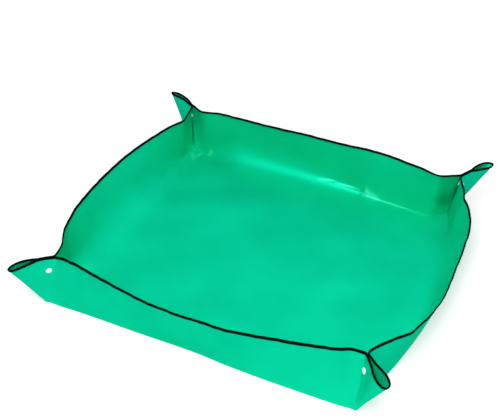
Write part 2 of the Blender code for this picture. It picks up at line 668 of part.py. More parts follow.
def main():
    clear_scene()
    green = make_material("green_coated_sheet", GREEN, SHEET_ROUGHNESS)
    black = make_material("black_binding_tape", BLACK, TAPE_ROUGHNESS)
    white = make_material("white_snap", WHITE, SNAP_ROUGHNESS)
    holder = bpy.data.objects.new("mat_centre", None)
    bpy.context.collection.objects.link(holder)
    corners = {name: Corner(name) for name in CORNERS}
    surface = SheetSurface(corners)
    build_sheet(surface, corners, green, holder)
    build_binding(surface, black, holder)
    for corner in corners.values():
        build_snap(corner, white, holder)
    bpy.context.view_layer.update()
    solids = [item for item in bpy.data.objects if item.type == "MESH" and not item.hide_render]
    low, high = world_box(solids)
    holder.location = (-(low[0] + high[0]) / 2, -(low[1] + high[1]) / 2, 0.0)
    bpy.context.view_layer.update()
    print("box", np.round(low, 5), np.round(high, 5), "shift", np.round(holder.location, 5))
    for corner in corners.values():
        print(corner.name, "snap", np.round(corner.snap, 5), "axis", np.round(corner.axis, 5))


main()
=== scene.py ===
# %% [markdown]
# # A folded repotting mat
#
# The mat is one square of green coated sheet, bound with black tape. Four press snaps pinch its corners,
# so that its margins stand up as walls and the mat becomes a tray. The construction was packed beforehand
# as plain solids. This script loads them as a fixed frame and makes the surfaces that the eye meets: the
# sheet with its soft folds and swells, the sewn tape with its stitches, and the moulded snaps. The sheet's
# sharp wrinkles are drawn in its finish.
# Everything is in metres, with +Z up, and the mat stands on the plane z = 0.

# %% Load the frame
import math

import bpy
import numpy as np
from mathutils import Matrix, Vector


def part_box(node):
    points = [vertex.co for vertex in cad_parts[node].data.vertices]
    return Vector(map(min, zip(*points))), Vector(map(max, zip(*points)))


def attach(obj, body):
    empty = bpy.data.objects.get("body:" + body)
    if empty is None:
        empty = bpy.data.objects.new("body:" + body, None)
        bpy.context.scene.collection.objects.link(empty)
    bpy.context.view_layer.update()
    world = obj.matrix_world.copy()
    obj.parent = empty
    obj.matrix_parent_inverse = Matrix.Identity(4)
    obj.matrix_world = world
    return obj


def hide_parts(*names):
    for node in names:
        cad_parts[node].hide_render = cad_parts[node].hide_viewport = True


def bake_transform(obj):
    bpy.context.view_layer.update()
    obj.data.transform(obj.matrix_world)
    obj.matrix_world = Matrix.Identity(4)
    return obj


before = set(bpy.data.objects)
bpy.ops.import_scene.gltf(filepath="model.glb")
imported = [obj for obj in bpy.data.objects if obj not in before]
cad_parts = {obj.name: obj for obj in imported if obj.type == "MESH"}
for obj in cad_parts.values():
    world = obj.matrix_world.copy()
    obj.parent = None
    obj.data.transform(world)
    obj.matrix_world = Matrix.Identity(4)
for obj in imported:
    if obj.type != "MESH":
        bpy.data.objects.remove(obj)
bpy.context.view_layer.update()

CORNERS = ("front_left", "front_right", "back_right", "back_left")

# %% [markdown]
# ## Sizes
#
# The flat sheet is 750 mm square. What is left of it beside the floor stands up as walls, so the wall
# heights follow from two sizes. The snap's stack sets how far the two leaves of an ear are held apart.

# %% Name the sizes
SHEET_SIDE = 0.750
SHEET_THICKNESS = 0.0005
FLOOR_LENGTH = 0.558
FLOOR_WIDTH = 0.542
EAR_FOOT_RADIUS = 0.0009
FOOT_FADE_LENGTH = 0.120
ROOT_LENGTH = 0.0030
BEND_LENGTH = 0.0070
TAPE_WIDTH = 0.0050
CAP_DIAMETER = 0.0107
LEAF_OFFSET = 0.00265
RIM_OFFSET = 0.0011
SNAP_HEIGHT_SHARE = 0.747

SIDE_WALL = (SHEET_SIDE - FLOOR_LENGTH) / 2
END_WALL = (SHEET_SIDE - FLOOR_WIDTH) / 2
RISE = (SIDE_WALL + END_WALL) / 2
SHEET_LEVEL = SHEET_THICKNESS / 2
print(f"walls {SIDE_WALL * 1000:.0f} and {END_WALL * 1000:.0f} mm")

# %% [markdown]
# ## Where the corners go
#
# At a corner the two walls come together at the neck and run on outwards, side by side, as the two leaves
# of an ear. Past the snap they part again and meet round a loop at the tip. Each corner is described by
# where its neck and its tip lie above the floor's corner, as shares of the rise. The four differ, because
# each was pinched by hand.

# %% Describe the corners
CORNER_SIGNS = {"front_left": (-1, -1), "front_right": (1, -1), "back_right": (1, 1), "back_left": (-1, 1)}
NECK_SHARES = {
    "front_left": (-0.186, -0.181, 0.98),
    "front_right": (0.023, -0.239, 0.98),
    "back_right": (0.102, -0.123, 0.98),
    "back_left": (-0.016, 0.045, 1.0),
}
TIP_SHARES = {
    "front_left": (0.33, 0.43, 0.96),
    "front_right": (0.49, 0.31, 0.96),
    "back_right": (0.54, 0.57, 0.96),
    "back_left": (0.61, 0.40, 0.98),
}
BASE_SHARES = {
    "front_left": (0.046, -0.047),
    "front_right": (0.020, 0.045),
    "back_right": (0.0, 0.0),
    "back_left": (0.0, 0.0),
}
# A loop's width beside the end wall's leaf and beside the side wall's
LOOP_WIDTH_SHARES = {
    "front_left": (0.045, 0.070),
    "front_right": (0.068, 0.078),
    "back_right": (0.070, 0.070),
    "back_left": (0.035, 0.035),
}
LOOP_POWER_SHARES = {"front_left": 2.2, "front_right": 1.8, "back_right": 2.4, "back_left": 1.9}
BOW_SHARES = {"front_left": 0.05, "front_right": 0.0, "back_right": 0.03, "back_left": 0.04}
DRIFT_SHARES = {
    "front_left": (0.0, 0.0),
    "front_right": (0.025, 0.0),
    "back_right": (0.01, 0.0),
    "back_left": (-0.060, 0.0),
}
PARTING_SHARES = {"front_left": 0.0, "front_right": 1.6, "back_right": 0.0, "back_left": 1.6}
OPEN_SHARES = {"front_left": 0.9, "front_right": 0.5, "back_right": 0.5, "back_left": 0.5}
SPACING_ROUNDS = 8
CLOSED_SHARES = {"front_left": 0.077, "front_right": 0.027, "back_right": 0.057, "back_left": 0.047}


class Ear:
    """One corner's pinched ear: its places, its directions, and the lines that its leaves hang from."""

    def __init__(self, name):
        sign_x, sign_y = CORNER_SIGNS[name]
        sign = np.array([sign_x, sign_y, 1.0])
        self.name = name
        fold_corner = np.array([sign_x * FLOOR_LENGTH / 2, sign_y * FLOOR_WIDTH / 2, SHEET_LEVEL])
        self.base = fold_corner + np.array([*BASE_SHARES[name], 0.0]) * sign * RISE
        neck = np.array(NECK_SHARES[name]) * sign * RISE
        tip = np.array(TIP_SHARES[name]) * sign * RISE
        self.neck = fold_corner + neck
        self.bow = BOW_SHARES[name] * RISE
        reach = (tip - neck)[:2]
        self.reach = float(np.linalg.norm(reach))
        self.drop = tip[2] - neck[2]
        self.out = np.append(reach / self.reach, 0.0)
        self.across = np.array([-sign_x * abs(self.out[1]), sign_y * abs(self.out[0]), 0.0])
        # The leaves tilt with the neck, so the spacing that seats the snap between them is found in rounds
        self.half = LEAF_OFFSET
        for _ in range(SPACING_ROUNDS):
            root = self.base - self.half * abs(self.out[[1, 0, 2]]) * sign * np.array([1.0, 1.0, 0.0])
            rise = self.neck - root
            axis = np.cross(self.out, rise)
            axis = axis / np.linalg.norm(axis)
            self.axis = axis * np.sign(axis @ self.across)
            self.half = LEAF_OFFSET / float(self.axis @ self.across)
        self.root = root
        self.upward = rise / np.linalg.norm(rise)
        self.end_root = root + self.half * self.across
        self.side_root = root - self.half * self.across
        flat = CAP_DIAMETER + BEND_LENGTH
        self.neck_length = flat / SNAP_HEIGHT_SHARE + CLOSED_SHARES[name] * RISE
        self.snap = root + SNAP_HEIGHT_SHARE * rise + self.out * flat / 2

    def leaf(self, share, side):
        """Root and rim points on a leaf: straight lines outwards, share running from 0 to 1."""
        start = self.end_root if side > 0 else self.side_root
        root = start + np.outer(share, self.out) * ROOT_LENGTH
        rim = self.neck + side * self.half * self.across + np.outer(share, self.out) * self.neck_length
        lift = self.bow * np.sin(math.pi * share * self.neck_length / self.reach)
        return root, rim + np.outer(lift, self.upward)

    def loop(self, turn):
        """Root and rim points round the loop: a teardrop, whose width is a power of a sine times a cosine."""
        swing = np.minimum(turn, math.pi - turn)
        side = np.cos(turn)
        root = (self.root + self.out * ROOT_LENGTH
                + self.half * (np.outer(side, self.across) + np.outer(np.sin(turn), self.out)))
        power = LOOP_POWER_SHARES[self.name]
        peak = math.atan(math.sqrt(power))
        crest = math.sin(peak) ** power * math.cos(peak)
        widest = np.where(side > 0, *LOOP_WIDTH_SHARES[self.name]) * RISE / crest
        width = self.half * side + widest * np.sin(swing) ** power * side
        along = self.neck_length + (self.reach - self.neck_length) * np.sin(swing) ** 2
        rim = self.neck + np.outer(along, self.out) + np.outer(width, self.across)
        rim[:, 2] += self.drop * np.sin(swing) ** 2
        lift = self.bow * np.sin(math.pi * along / self.reach)
        drift = np.array([*DRIFT_SHARES[self.name], 0.0]) * RISE
        return root, rim + np.outer(lift, self.upward) + np.outer(np.sin(swing) ** 2, drift)


ears = {name: Ear(name) for name in CORNERS}


def find_shift():
    """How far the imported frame's origin, under the middle of the whole mat, is from the floor's middle."""
    gaps = []
    for name, ear in ears.items():
        boxes = [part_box(f"{name}_{piece}") for piece in ("stud_cap", "socket_cap")]
        low = np.min([tuple(box[0]) for box in boxes], axis=0)
        high = np.max([tuple(box[1]) for box in boxes], axis=0)
        gaps.append((low + high) / 2 - ear.snap)
    return np.mean(gaps, axis=0), np.ptp(gaps, axis=0)


shift, spread = find_shift()
print("shift mm", np.round(shift * 1000, 3), "spread mm", np.round(spread * 1000, 3))

# %% [markdown]
# ## The camera
#
# A picture is matched from its camera outwards. The four corners of the mat's floor and the heights of its
# rims fix where the camera stood: about a metre above the table, at the front right, looking down to the
# left. Its place is measured from the middle of the floor, so it gets the frame's shift too. The focal
# length is first read in pixels, because that is how it shows in a picture, and is then turned into
# millimetres on Blender's 36 mm wide sensor.

# %% Place the camera
IMAGE_WIDTH_PX = 497
FOCAL_LENGTH_PX = 950
CAMERA_PLACE = (0.540, -1.227, 1.099)
CAMERA_PITCH = math.radians(36.5)
CAMERA_YAW = math.radians(24.7)


def add_camera():
    """The camera looks down by the pitch and is turned about the vertical by the yaw."""
    lens = bpy.data.cameras.new("camera")
    lens.sensor_width = 36.0
    lens.lens = lens.sensor_width * FOCAL_LENGTH_PX / IMAGE_WIDTH_PX
    lens.clip_start = 0.01
    camera = bpy.data.objects.new("camera", lens)
    bpy.context.collection.objects.link(camera)
    camera.location = np.array(CAMERA_PLACE) + shift
    camera.rotation_euler = (math.pi / 2 - CAMERA_PITCH, 0.0, CAMERA_YAW)
    bpy.context.scene.camera = camera
    return camera


add_camera()

# %% [markdown]
# ## How the walls lean
#
# Between two corners a wall is a soft strip held only at its ends. The picture shows the right wall
# slumping outwards to more than forty degrees, and the back wall leaning in a little. Each wall gets its
# lean at a few places, and a smooth curve through them gives the rim. A centripetal Catmull-Rom curve
# suits this: it passes through every place and doesn't overshoot between close ones.

# %% Shape the walls
# For places along each wall: the share of its length, its lean in degrees, how far its foot is moved outwards
# and the radius of its foot, the last two as shares of the rise
LEAN_SHARES = {
    "front": ((0.063, -7.6, -0.03, 0.03), (0.094, -6.0, -0.03, 0.03), (0.133, -4.0, -0.025, 0.03),
              (0.194, 0.7, -0.018, 0.03), (0.252, 4.7, -0.012, 0.03), (0.322, 8.9, -0.007, 0.03),
              (0.395, 12.2, -0.01, 0.03), (0.445, 13.4, -0.012, 0.03), (0.493, 13.9, -0.01, 0.03),
              (0.539, 13.5, 0.002, 0.03), (0.606, 13.8, 0.04, 0.03), (0.639, 13.6, 0.052, 0.03),
              (0.672, 11.8, 0.062, 0.03), (0.727, 9.4, 0.078, 0.03), (0.824, 4.1, 0.084, 0.03),
              (0.887, -0.1, 0.08, 0.03), (0.921, -2.6, 0.078, 0.03), (0.943, -5.2, 0.075, 0.03),
              (0.962, -8.6, 0.07, 0.03)),
    "right": ((0.078, 6.2, 0.15, 0.06), (0.116, 13.7, 0.20, 0.08), (0.155, 21.5, 0.245, 0.10),
              (0.176, 25.8, 0.275, 0.12), (0.189, 28.4, 0.295, 0.13), (0.206, 30.6, 0.315, 0.15),
              (0.244, 33.9, 0.355, 0.20), (0.289, 38.1, 0.40, 0.25), (0.353, 42.3, 0.43, 0.32),
              (0.422, 45.2, 0.44, 0.38), (0.488, 45.2, 0.44, 0.45), (0.554, 44.3, 0.42, 0.50),
              (0.624, 44.1, 0.38, 0.55), (0.685, 42.6, 0.34, 0.55), (0.748, 41.0, 0.28, 0.55),
              (0.798, 37.0, 0.23, 0.50), (0.831, 31.6, 0.19, 0.45), (0.858, 25.3, 0.145, 0.40),
              (0.873, 20.8, 0.12, 0.35), (0.904, 18.0, 0.08, 0.28), (0.935, 13.4, 0.05, 0.20),
              (0.964, 9.0, 0.03, 0.12)),
    "back": ((0.055, -6.7, 0.0, 0.55), (0.12, -3.1, 0.0, 0.70), (0.206, -3.2, 0.0, 0.75),
             (0.284, -3.9, 0.0, 0.75), (0.363, -4.1, 0.0, 0.72), (0.453, -3.4, -0.01, 0.66),
             (0.572, -4.5, -0.05, 0.50), (0.634, -4.3, -0.09, 0.34), (0.704, -3.7, -0.14, 0.12),
             (0.766, -5.3, -0.18, 0.06), (0.817, -8.1, -0.21, 0.045), (0.899, -12.8, -0.25, 0.045),
             (0.952, -16.6, -0.27, 0.045)),
    "left": ((0.087, -5.9, 0.0, 0.35), (0.125, 0.1, 0.0, 0.50), (0.167, 7.2, 0.0, 0.65),
             (0.219, 13.0, 0.0, 0.70), (0.294, 19.9, 0.0, 0.70), (0.378, 24.5, 0.0, 0.70),
             (0.449, 26.6, 0.0, 0.70), (0.53, 27.2, 0.0, 0.70), (0.597, 25.8, 0.0, 0.70),
             (0.693, 19.6, 0.0, 0.70), (0.783, 10.8, 0.0, 0.65), (0.857, 3.2, 0.0, 0.55),
             (0.909, -3.6, 0.0, 0.45), (0.957, -2.2, 0.0, 0.30)),
}
OUTWARD = {"front": (0, -1, 0), "back": (0, 1, 0), "left": (-1, 0, 0), "right": (1, 0, 0)}
WALL_ORDER = (("front", "front_left", "front_right"), ("right", "front_right", "back_right"),
              ("back", "back_right", "back_left"), ("left", "back_left", "front_left"))
WALL_STEPS = 60
NECK_STEPS = 120
LOOP_STEPS = 480
EVEN_STEPS = 30720


def smooth_step(value):
    """0 below 0, 1 above 1, and 3v^2 - 2v^3 between them."""
    held = np.clip(value, 0.0, 1.0)
    return held * held * (3.0 - 2.0 * held)


def curve_through(knots, steps):
    """A centripetal Catmull-Rom curve through the rows of knots, whose first three columns are the place."""
    knots = np.asarray(knots, float)
    ends = (2 * knots[0] - knots[1], 2 * knots[-1] - knots[-2])
    points = np.vstack([ends[0], knots, ends[1]])
    gaps = np.sqrt(np.linalg.norm(np.diff(points[:, :3], axis=0), axis=1))
    times = np.concatenate([[0.0], np.cumsum(gaps)])
    rows = []
    for first in range(len(knots) - 1):
        p0, p1, p2, p3 = points[first:first + 4]
        t0, t1, t2, t3 = times[first:first + 4]
        t = np.linspace(t1, t2, steps, endpoint=False)[:, None]
        a1 = (t1 - t) / (t1 - t0) * p0 + (t - t0) / (t1 - t0) * p1
        a2 = (t2 - t) / (t2 - t1) * p1 + (t - t1) / (t2 - t1) * p2
        a3 = (t3 - t) / (t3 - t2) * p2 + (t - t2) / (t3 - t2) * p3
        b1 = (t2 - t) / (t2 - t0) * a1 + (t - t0) / (t2 - t0) * a2
        b2 = (t3 - t) / (t3 - t1) * a2 + (t - t1) / (t3 - t1) * a3
        rows.append((t2 - t) / (t2 - t1) * b1 + (t - t1) / (t2 - t1) * b2)
    rows.append(knots[-1:])
    return np.vstack(rows)


def wall_run(wall, first, last):
    """Root and rim points of one wall, and its foot radii: a rim point is the slant turned by the lean."""
    along_x = wall in ("front", "back")
    start = first.end_root if along_x else first.side_root
    stop = last.end_root if along_x else last.side_root
    side = 1.0 if along_x else -1.0
    outward = np.array(OUTWARD[wall], float)
    slant = END_WALL if along_x else SIDE_WALL
    axis = 0 if along_x else 1
    span = FLOOR_LENGTH if along_x else FLOOR_WIDTH
    rows = []
    for share, lean, moved, radius in LEAN_SHARES[wall]:
        foot = start * abs(np.array([outward[1], outward[0], 1.0]))
        foot[1 - axis] = (outward * np.array([FLOOR_LENGTH, FLOOR_WIDTH, 0.0]))[1 - axis] / 2
        foot[axis] = (share - 0.5) * span
        lean = math.radians(lean)
        rim = foot + slant * (math.sin(lean) * outward + math.cos(lean) * np.array([0.0, 0.0, 1.0]))
        rows.append(np.concatenate([rim, foot + moved * RISE * outward, [radius * RISE]]))
    if first.base[axis] > last.base[axis]:
        rows.reverse()
    rows.insert(0, np.concatenate([first.neck + side * first.half * first.across, start, rows[0][6:]]))
    rows.append(np.concatenate([last.neck + side * last.half * last.across, stop, rows[-1][6:]]))
    run = curve_through(rows, WALL_STEPS)
    return run[:, 3:6], run[:, :3], run[:, 6]


# %% [markdown]
# ## One line round the floor and one round the rim
#
# The sheet is a ruled surface: straight lines run from a closed root line on the floor to a closed rim
# line. At a corner the root line makes a tiny U, and the rim line the whole ear, so the lines fan out.
# Both are sampled finely and in step, spaced evenly, and rounded by a running average as long as the bend
# where a wall turns into a leaf. Each point also knows where it lies on the flat sheet, and that becomes
# the sheet's own UV map, on which weave and wrinkles are drawn without a seam.

# %% Trace the root and the rim
RIPPLE_HEIGHT = 0.0006
RIPPLE_LENGTHS = (0.023, 0.037, 0.061, 0.094)
RIPPLE_FADE = 0.050
NECK_BEND_LENGTH = 0.014
SOFT_CORNER_LENGTHS = {"front_left": 0.020, "front_right": 0.024, "back_right": 0.110, "back_left": 0.110}


def ripple(distance, seed):
    """A gentle unevenness along a line: sines of a few lengths, each with its own start."""
    starts = np.random.default_rng(seed).uniform(0.0, 2 * math.pi, len(RIPPLE_LENGTHS))
    waves = [np.sin(2 * math.pi * distance / length + start) for length, start in zip(RIPPLE_LENGTHS, starts)]
    return np.mean(waves, axis=0)


def line_lengths(line):
    return np.concatenate([[0.0], np.cumsum(np.linalg.norm(np.diff(line, axis=0), axis=1))])


def flat_edge(ear, share):
    """Places on the flat sheet's edge round a corner, as share goes from the end wall to the side wall."""
    sign_x, sign_y = CORNER_SIGNS[ear.name]
    half = SHEET_SIDE / 2
    walked = share * (SIDE_WALL + END_WALL)
    x = sign_x * np.minimum(FLOOR_LENGTH / 2 + walked, half)
    y = sign_y * (half - np.maximum(walked - SIDE_WALL, 0.0))
    return np.column_stack([x, y])


def trace_outline():
    """Fine rows of root, rim, part in the neck, distance from an ear, flat root, flat rim and wall share.

    The stretches between neck, loop and wall are returned beside them, as row numbers.
    """
    share = np.linspace(0.0, 1.0, NECK_STEPS, endpoint=False)
    turn = np.linspace(0.0, math.pi, LOOP_STEPS, endpoint=False)
    blocks, marks, count = [], [], 0
    for number, (wall, first, last) in enumerate(WALL_ORDER):
        root, rim, radius = wall_run(wall, ears[first], ears[last])
        walked = line_lengths(root)
        from_ear = np.minimum(walked, walked[-1] - walked)
        outward = np.array(OUTWARD[wall], float)
        faded = smooth_step(from_ear / RIPPLE_FADE)
        height = RIPPLE_HEIGHT * faded
        rim = rim + (height * ripple(walked, 10 + number))[:, None] * outward
        rim[:, 2] += 0.6 * height * ripple(walked, 20 + number)
        slant = END_WALL if wall in ("front", "back") else SIDE_WALL
        flat_root = root[:, :2]
        flat_rim = flat_root + slant * outward[:2]
        rest = np.column_stack([np.zeros(len(root)), from_ear, radius])
        blocks.append(np.column_stack([root, rim, rest, flat_root, flat_rim])[:-1])
        marks.append(count)
        count += len(root) - 1
        marks.append(count)
        ear = ears[last]
        side = 1.0 if wall in ("front", "back") else -1.0
        near, far = ear.leaf(share, side), ear.leaf(1.0 - share, -side)
        middle = ear.loop(turn if side > 0 else math.pi - turn)
        open_up = smooth_step(np.sin(turn) / OPEN_SHARES[last])
        parting = PARTING_SHARES[last] * smooth_step(share)
        parts = np.concatenate([side * (1.0 - parting),
                                side * np.sign(np.cos(turn)) * (1.0 - open_up) * (1.0 - PARTING_SHARES[last]),
                                -side * (1.0 - parting[::-1])])
        root = np.vstack([near[0], middle[0], far[0]])
        rim = np.vstack([near[1], middle[1], far[1]])
        walked = line_lengths(rim)
        edge_share = walked / walked[-1]
        flat_rim = flat_edge(ear, edge_share if side > 0 else 1.0 - edge_share)
        flat_root = root[:, :2]
        none = np.zeros(len(root))
        blocks.append(np.column_stack([root, rim, parts, none, none + EAR_FOOT_RADIUS, flat_root, flat_rim]))
        marks += [count + len(share), count + len(share) + len(turn) // 2, count + len(share) + len(turn)]
        count += len(root)
    return np.vstack(blocks), np.array(marks + [count])


def rounded(values, length, window):
    """A closed row of values after a running average, one window long, with a bell-shaped weight."""
    reach = max(1, int(round(window / length * len(values) / 2)))
    weights = np.hanning(2 * reach + 3)[1:-1]
    weights = weights / weights.sum()
    padded = np.vstack([values[-reach:], values, values[:reach]])
    return np.stack([np.convolve(padded[:, k], weights, "valid") for k in range(values.shape[1])], axis=1)


def spread_evenly(rows, walked, steps):
    """The rows read at new distances along their line."""
    return np.stack([np.interp(steps, walked, column) for column in rows.T], axis=1)


def make_outline():
    """The even, rounded table, and the marks as fractions of the way round."""
    fine, marks = trace_outline()
    closed = np.vstack([fine, fine[:1]])
    walked = line_lengths(closed[:, 3:6])
    steps = np.linspace(0.0, walked[-1], EVEN_STEPS, endpoint=False)
    even = spread_evenly(closed, walked, steps)
    even_rounded = rounded(even, walked[-1], BEND_LENGTH)
    # Where a wall turns into a leaf the bend is gentler
    ends = walked[marks[np.arange(len(marks)) % 5 < 2]]
    apart = np.abs(steps[:, None] - ends)
    apart = np.minimum(apart, walked[-1] - apart).min(axis=1)
    gentle = 1.0 - smooth_step(apart / NECK_BEND_LENGTH - 0.5)
    even_rounded += (rounded(even, walked[-1], NECK_BEND_LENGTH) - even_rounded) * gentle[:, None]
    # At the floor every corner is rounder, each by its own length, which is measured along the root line
    root_walk = line_lengths(np.vstack([even[:, :3], even[:1, :3]]))
    root_steps = np.linspace(0.0, root_walk[-1], EVEN_STEPS, endpoint=False)
    roots = spread_evenly(np.vstack([even[:, :3], even[:1, :3]]), root_walk, root_steps)
    centres = np.array([ears[name].base[:2] for name in CORNERS])
    nearest = np.argmin(np.linalg.norm(even[:, None, :2] - centres[None], axis=2), axis=1)
    soft = []
    for name in CORNERS:
        turned_round = rounded(roots, root_walk[-1], SOFT_CORNER_LENGTHS[name])
        closed_soft = np.vstack([turned_round, turned_round[:1]])
        closed_steps = np.append(root_steps, root_walk[-1])
        soft.append(spread_evenly(closed_soft, closed_steps, root_walk[:-1]))
    return even_rounded, walked[marks] / walked[-1], np.stack(soft)[nearest, np.arange(EVEN_STEPS)]


outline, marks, soft_roots = make_outline()
print("outline rows", len(outline), "marks", np.round(marks, 4))

# %% [markdown]
# ## Columns of the mesh
#
# The mesh is a ring of columns, one for each ruling. A quarter of the ring runs from the middle of one
# loop to the middle of the next, and every quarter has the same count, so a column's number tells which
# corner it is at. Columns are closer near the bends, where the sheet turns sharply.

# %% Choose the columns
LOOP_COLUMNS = 18
NECK_COLUMNS = 6
WALL_COLUMNS = 128
QUARTER = 2 * (LOOP_COLUMNS + NECK_COLUMNS) + WALL_COLUMNS
CROWDING = 0.55


def column_places(finer):
    """Fractions of the way round, one quarter after another, each from one loop's middle to the next's."""
    turn = np.linspace(0.0, 1.0, finer * WALL_COLUMNS, endpoint=False)
    crowded = turn - CROWDING * np.sin(2 * math.pi * turn) / (2 * math.pi)
    places = []
    for quarter in range(4):
        # Marks come in fives: wall start, wall end, neck end, loop middle and loop end
        here = 5 * quarter
        before = (here - 2) % 20
        turns = -1.0 if quarter == 0 else 0.0
        middle, loop_end = marks[before] + turns, marks[before + 1] + turns
        stops = [(middle, loop_end, LOOP_COLUMNS), (loop_end, marks[here], NECK_COLUMNS)]
        for low, high, count in stops:
            places.append(low + (high - low) * np.arange(finer * count) / (finer * count))
        places.append(marks[here] + (marks[here + 1] - marks[here]) * crowded)
        stops = [(marks[here + 1], marks[here + 2], NECK_COLUMNS),
                 (marks[here + 2], marks[here + 3], LOOP_COLUMNS)]
        for low, high, count in stops:
            places.append(low + (high - low) * np.arange(finer * count) / (finer * count))
    return np.concatenate(places)


print("columns in a quarter", QUARTER)

# %% [markdown]
# ## The folded sheet as a function
#
# A point of the sheet is found from its column and its height above the floor's edge line, measured on
# the sheet. Below minus the foot radius it lies flat on the floor, above the foot radius it lies on the
# straight ruling. Between them a curve joins the two whose bend grows from nothing and dies out again, so
# no line shows where the foot meets the floor. The foot is wide along most walls and shrinks to a crease at
# the ears. It is narrow along the right part of the back wall too, as the picture shows.

# %% Define the sheet's surface
PINCH_FROM_SHARE = (1.0 + SNAP_HEIGHT_SHARE) / 2
SOFT_TO_SHARE = 0.68
GAP_CLOSED_SHARE = 0.38
GAP_OPEN_SHARE = 0.62
CLOSED_GAP = 0.0004
TANGENT_STEP = 1.0 / 3840
NORMAL_STEP_SHARE = 0.05


class FoldedSheet:
    """The middle surface of the folded sheet, read at any columns and heights."""

    def __init__(self, places):
        table = self.read(outline, places)
        self.root, self.rim = table[:, :3], table[:, 3:6]
        self.soft = self.read(soft_roots, places)
        tangent = self.read(soft_roots, places + TANGENT_STEP) - self.read(soft_roots, places - TANGENT_STEP)
        outward = np.column_stack([tangent[:, 1], -tangent[:, 0], np.zeros(len(tangent))])
        self.outward = outward / np.linalg.norm(outward, axis=1)[:, None]
        self.along = smooth_step(table[:, 7] / FOOT_FADE_LENGTH)
        self.foot = EAR_FOOT_RADIUS + (table[:, 8] - EAR_FOOT_RADIUS) * self.along
        rise = self.rim - self.root
        self.slant = np.linalg.norm(rise, axis=1)
        self.up = rise / self.slant[:, None]
        away = np.stack([np.linalg.norm(self.rim - ear.neck, axis=1) for ear in ears.values()])
        across = np.stack([ear.across for ear in ears.values()])[np.argmin(away, axis=0)]
        self.pinch = -across * table[:, 6][:, None]
        self.held = -across * np.clip(table[:, 6], -1.0, 1.0)[:, None]
        self.flat_root, self.flat_rim = table[:, 9:11], table[:, 11:13]

    @staticmethod
    def read(rows, places):
        """Rows of a closed table at fractions of the way round it."""
        closed = np.vstack([rows, rows[:1]])
        numbers = np.arange(len(closed))
        spots = (places % 1.0) * len(rows)
        return np.stack([np.interp(spots, numbers, column) for column in closed.T], axis=1)

    def place(self, height):
        """Points for rows of heights; each row has one height per column."""
        foot = self.foot
        share = (np.clip(height, -foot, foot) + foot) / (2 * foot)
        bend = 2 * foot * (share ** 3 - share ** 4 / 2)
        ramp = np.maximum(bend, height)[..., None]
        back = ramp - height[..., None]
        share = (height / self.slant)[..., None]
        softness = 1.0 - smooth_step(share / SOFT_TO_SHARE)
        at_rim = smooth_step((share - PINCH_FROM_SHARE) / (1.0 - PINCH_FROM_SHARE))
        at_rim = at_rim * (LEAF_OFFSET - RIM_OFFSET)
        below = smooth_step((GAP_OPEN_SHARE - share) / (GAP_OPEN_SHARE - GAP_CLOSED_SHARE)) * (1.0 - softness)
        root = self.root + (self.soft - self.root) * softness
        closing = self.pinch * at_rim + self.held * below * (LEAF_OFFSET - CLOSED_GAP)
        return root + self.up * ramp - self.outward * back + closing + shift

    def flat(self, height):
        """Where the same points lie on the flat sheet: a straight run from flat root to flat rim."""
        share = (height / self.slant)[..., None]
        return self.flat_root + (self.flat_rim - self.flat_root) * share

    def directions(self, height):
        """The normal towards the tray's inside, and the direction up the wall, from small differences."""
        step = self.foot * NORMAL_STEP_SHARE
        up = self.place(height + step) - self.place(height - step)
        up = up / np.linalg.norm(up, axis=-1, keepdims=True)
        here = self.place(height)
        along = np.roll(here, -1, axis=-2) - np.roll(here, 1, axis=-2)
        normal = np.cross(up, along)
        return normal / np.linalg.norm(normal, axis=-1, keepdims=True), up


surface = FoldedSheet(column_places(1))
print("slant mm", np.round(surface.slant.min() * 1000, 1), "to", np.round(surface.slant.max() * 1000, 1))

# %% [markdown]
# ## Broad swells
#
# A coated sheet is never quite flat: broad, shallow swells cross it. They are drawn on the flat sheet, as a
# height to add along the normal. They die out towards the rim, so that the tape still fits, round the
# snaps, which hold the leaves flat, and at the foot of each ear. The short, sharp wrinkles near the corners
# are finer than this mesh, so they come later, in the sheet's finish.

# %% Draw the swells
SWELL_HEIGHT = 0.0060
WALL_SWELL_SHARE = 0.3
SWELL_FADE = 0.060
SWELL_LENGTHS = (0.11, 0.15, 0.19, 0.24, 0.31)
RIM_CALM = 0.030
SNAP_CALM = 0.045
BASE_CALM = 0.050


def swell_height(flat):
    """Broad swells: plane waves that cross the flat sheet in unlike directions."""
    random = np.random.default_rng(7)
    total = np.zeros(flat.shape[:-1])
    for length in SWELL_LENGTHS:
        angle, start = random.uniform(0.0, math.pi), random.uniform(0.0, 2 * math.pi)
        across = flat @ np.array([math.cos(angle), math.sin(angle)])
        total = total + np.sin(2 * math.pi * across / length + start)
    inside = np.array([FLOOR_LENGTH, FLOOR_WIDTH]) / 2 - np.abs(flat)
    on_floor = smooth_step(inside.min(axis=-1) / SWELL_FADE)
    height = SWELL_HEIGHT * (WALL_SWELL_SHARE + (1.0 - WALL_SWELL_SHARE) * on_floor)
    return (total / len(SWELL_LENGTHS) + 1.0) / 2 * height


def calm(points, flat):
    """1 over most of the sheet, 0 at its rim, at the snaps and at the foot of each ear."""
    half = SHEET_SIDE / 2
    from_rim = half - np.abs(flat).max(axis=-1)
    held = smooth_step((from_rim - TAPE_WIDTH) / RIM_CALM)
    for ear in ears.values():
        away = np.linalg.norm(points - ear.snap - shift, axis=-1)
        held = held * smooth_step((away - CAP_DIAMETER) / SNAP_CALM)
        away = np.linalg.norm(points - ear.base - shift, axis=-1)
        held = held * smooth_step(away / BASE_CALM)
    return held


print("swells", len(SWELL_LENGTHS), "waves, up to", SWELL_HEIGHT * 1000, "mm high")

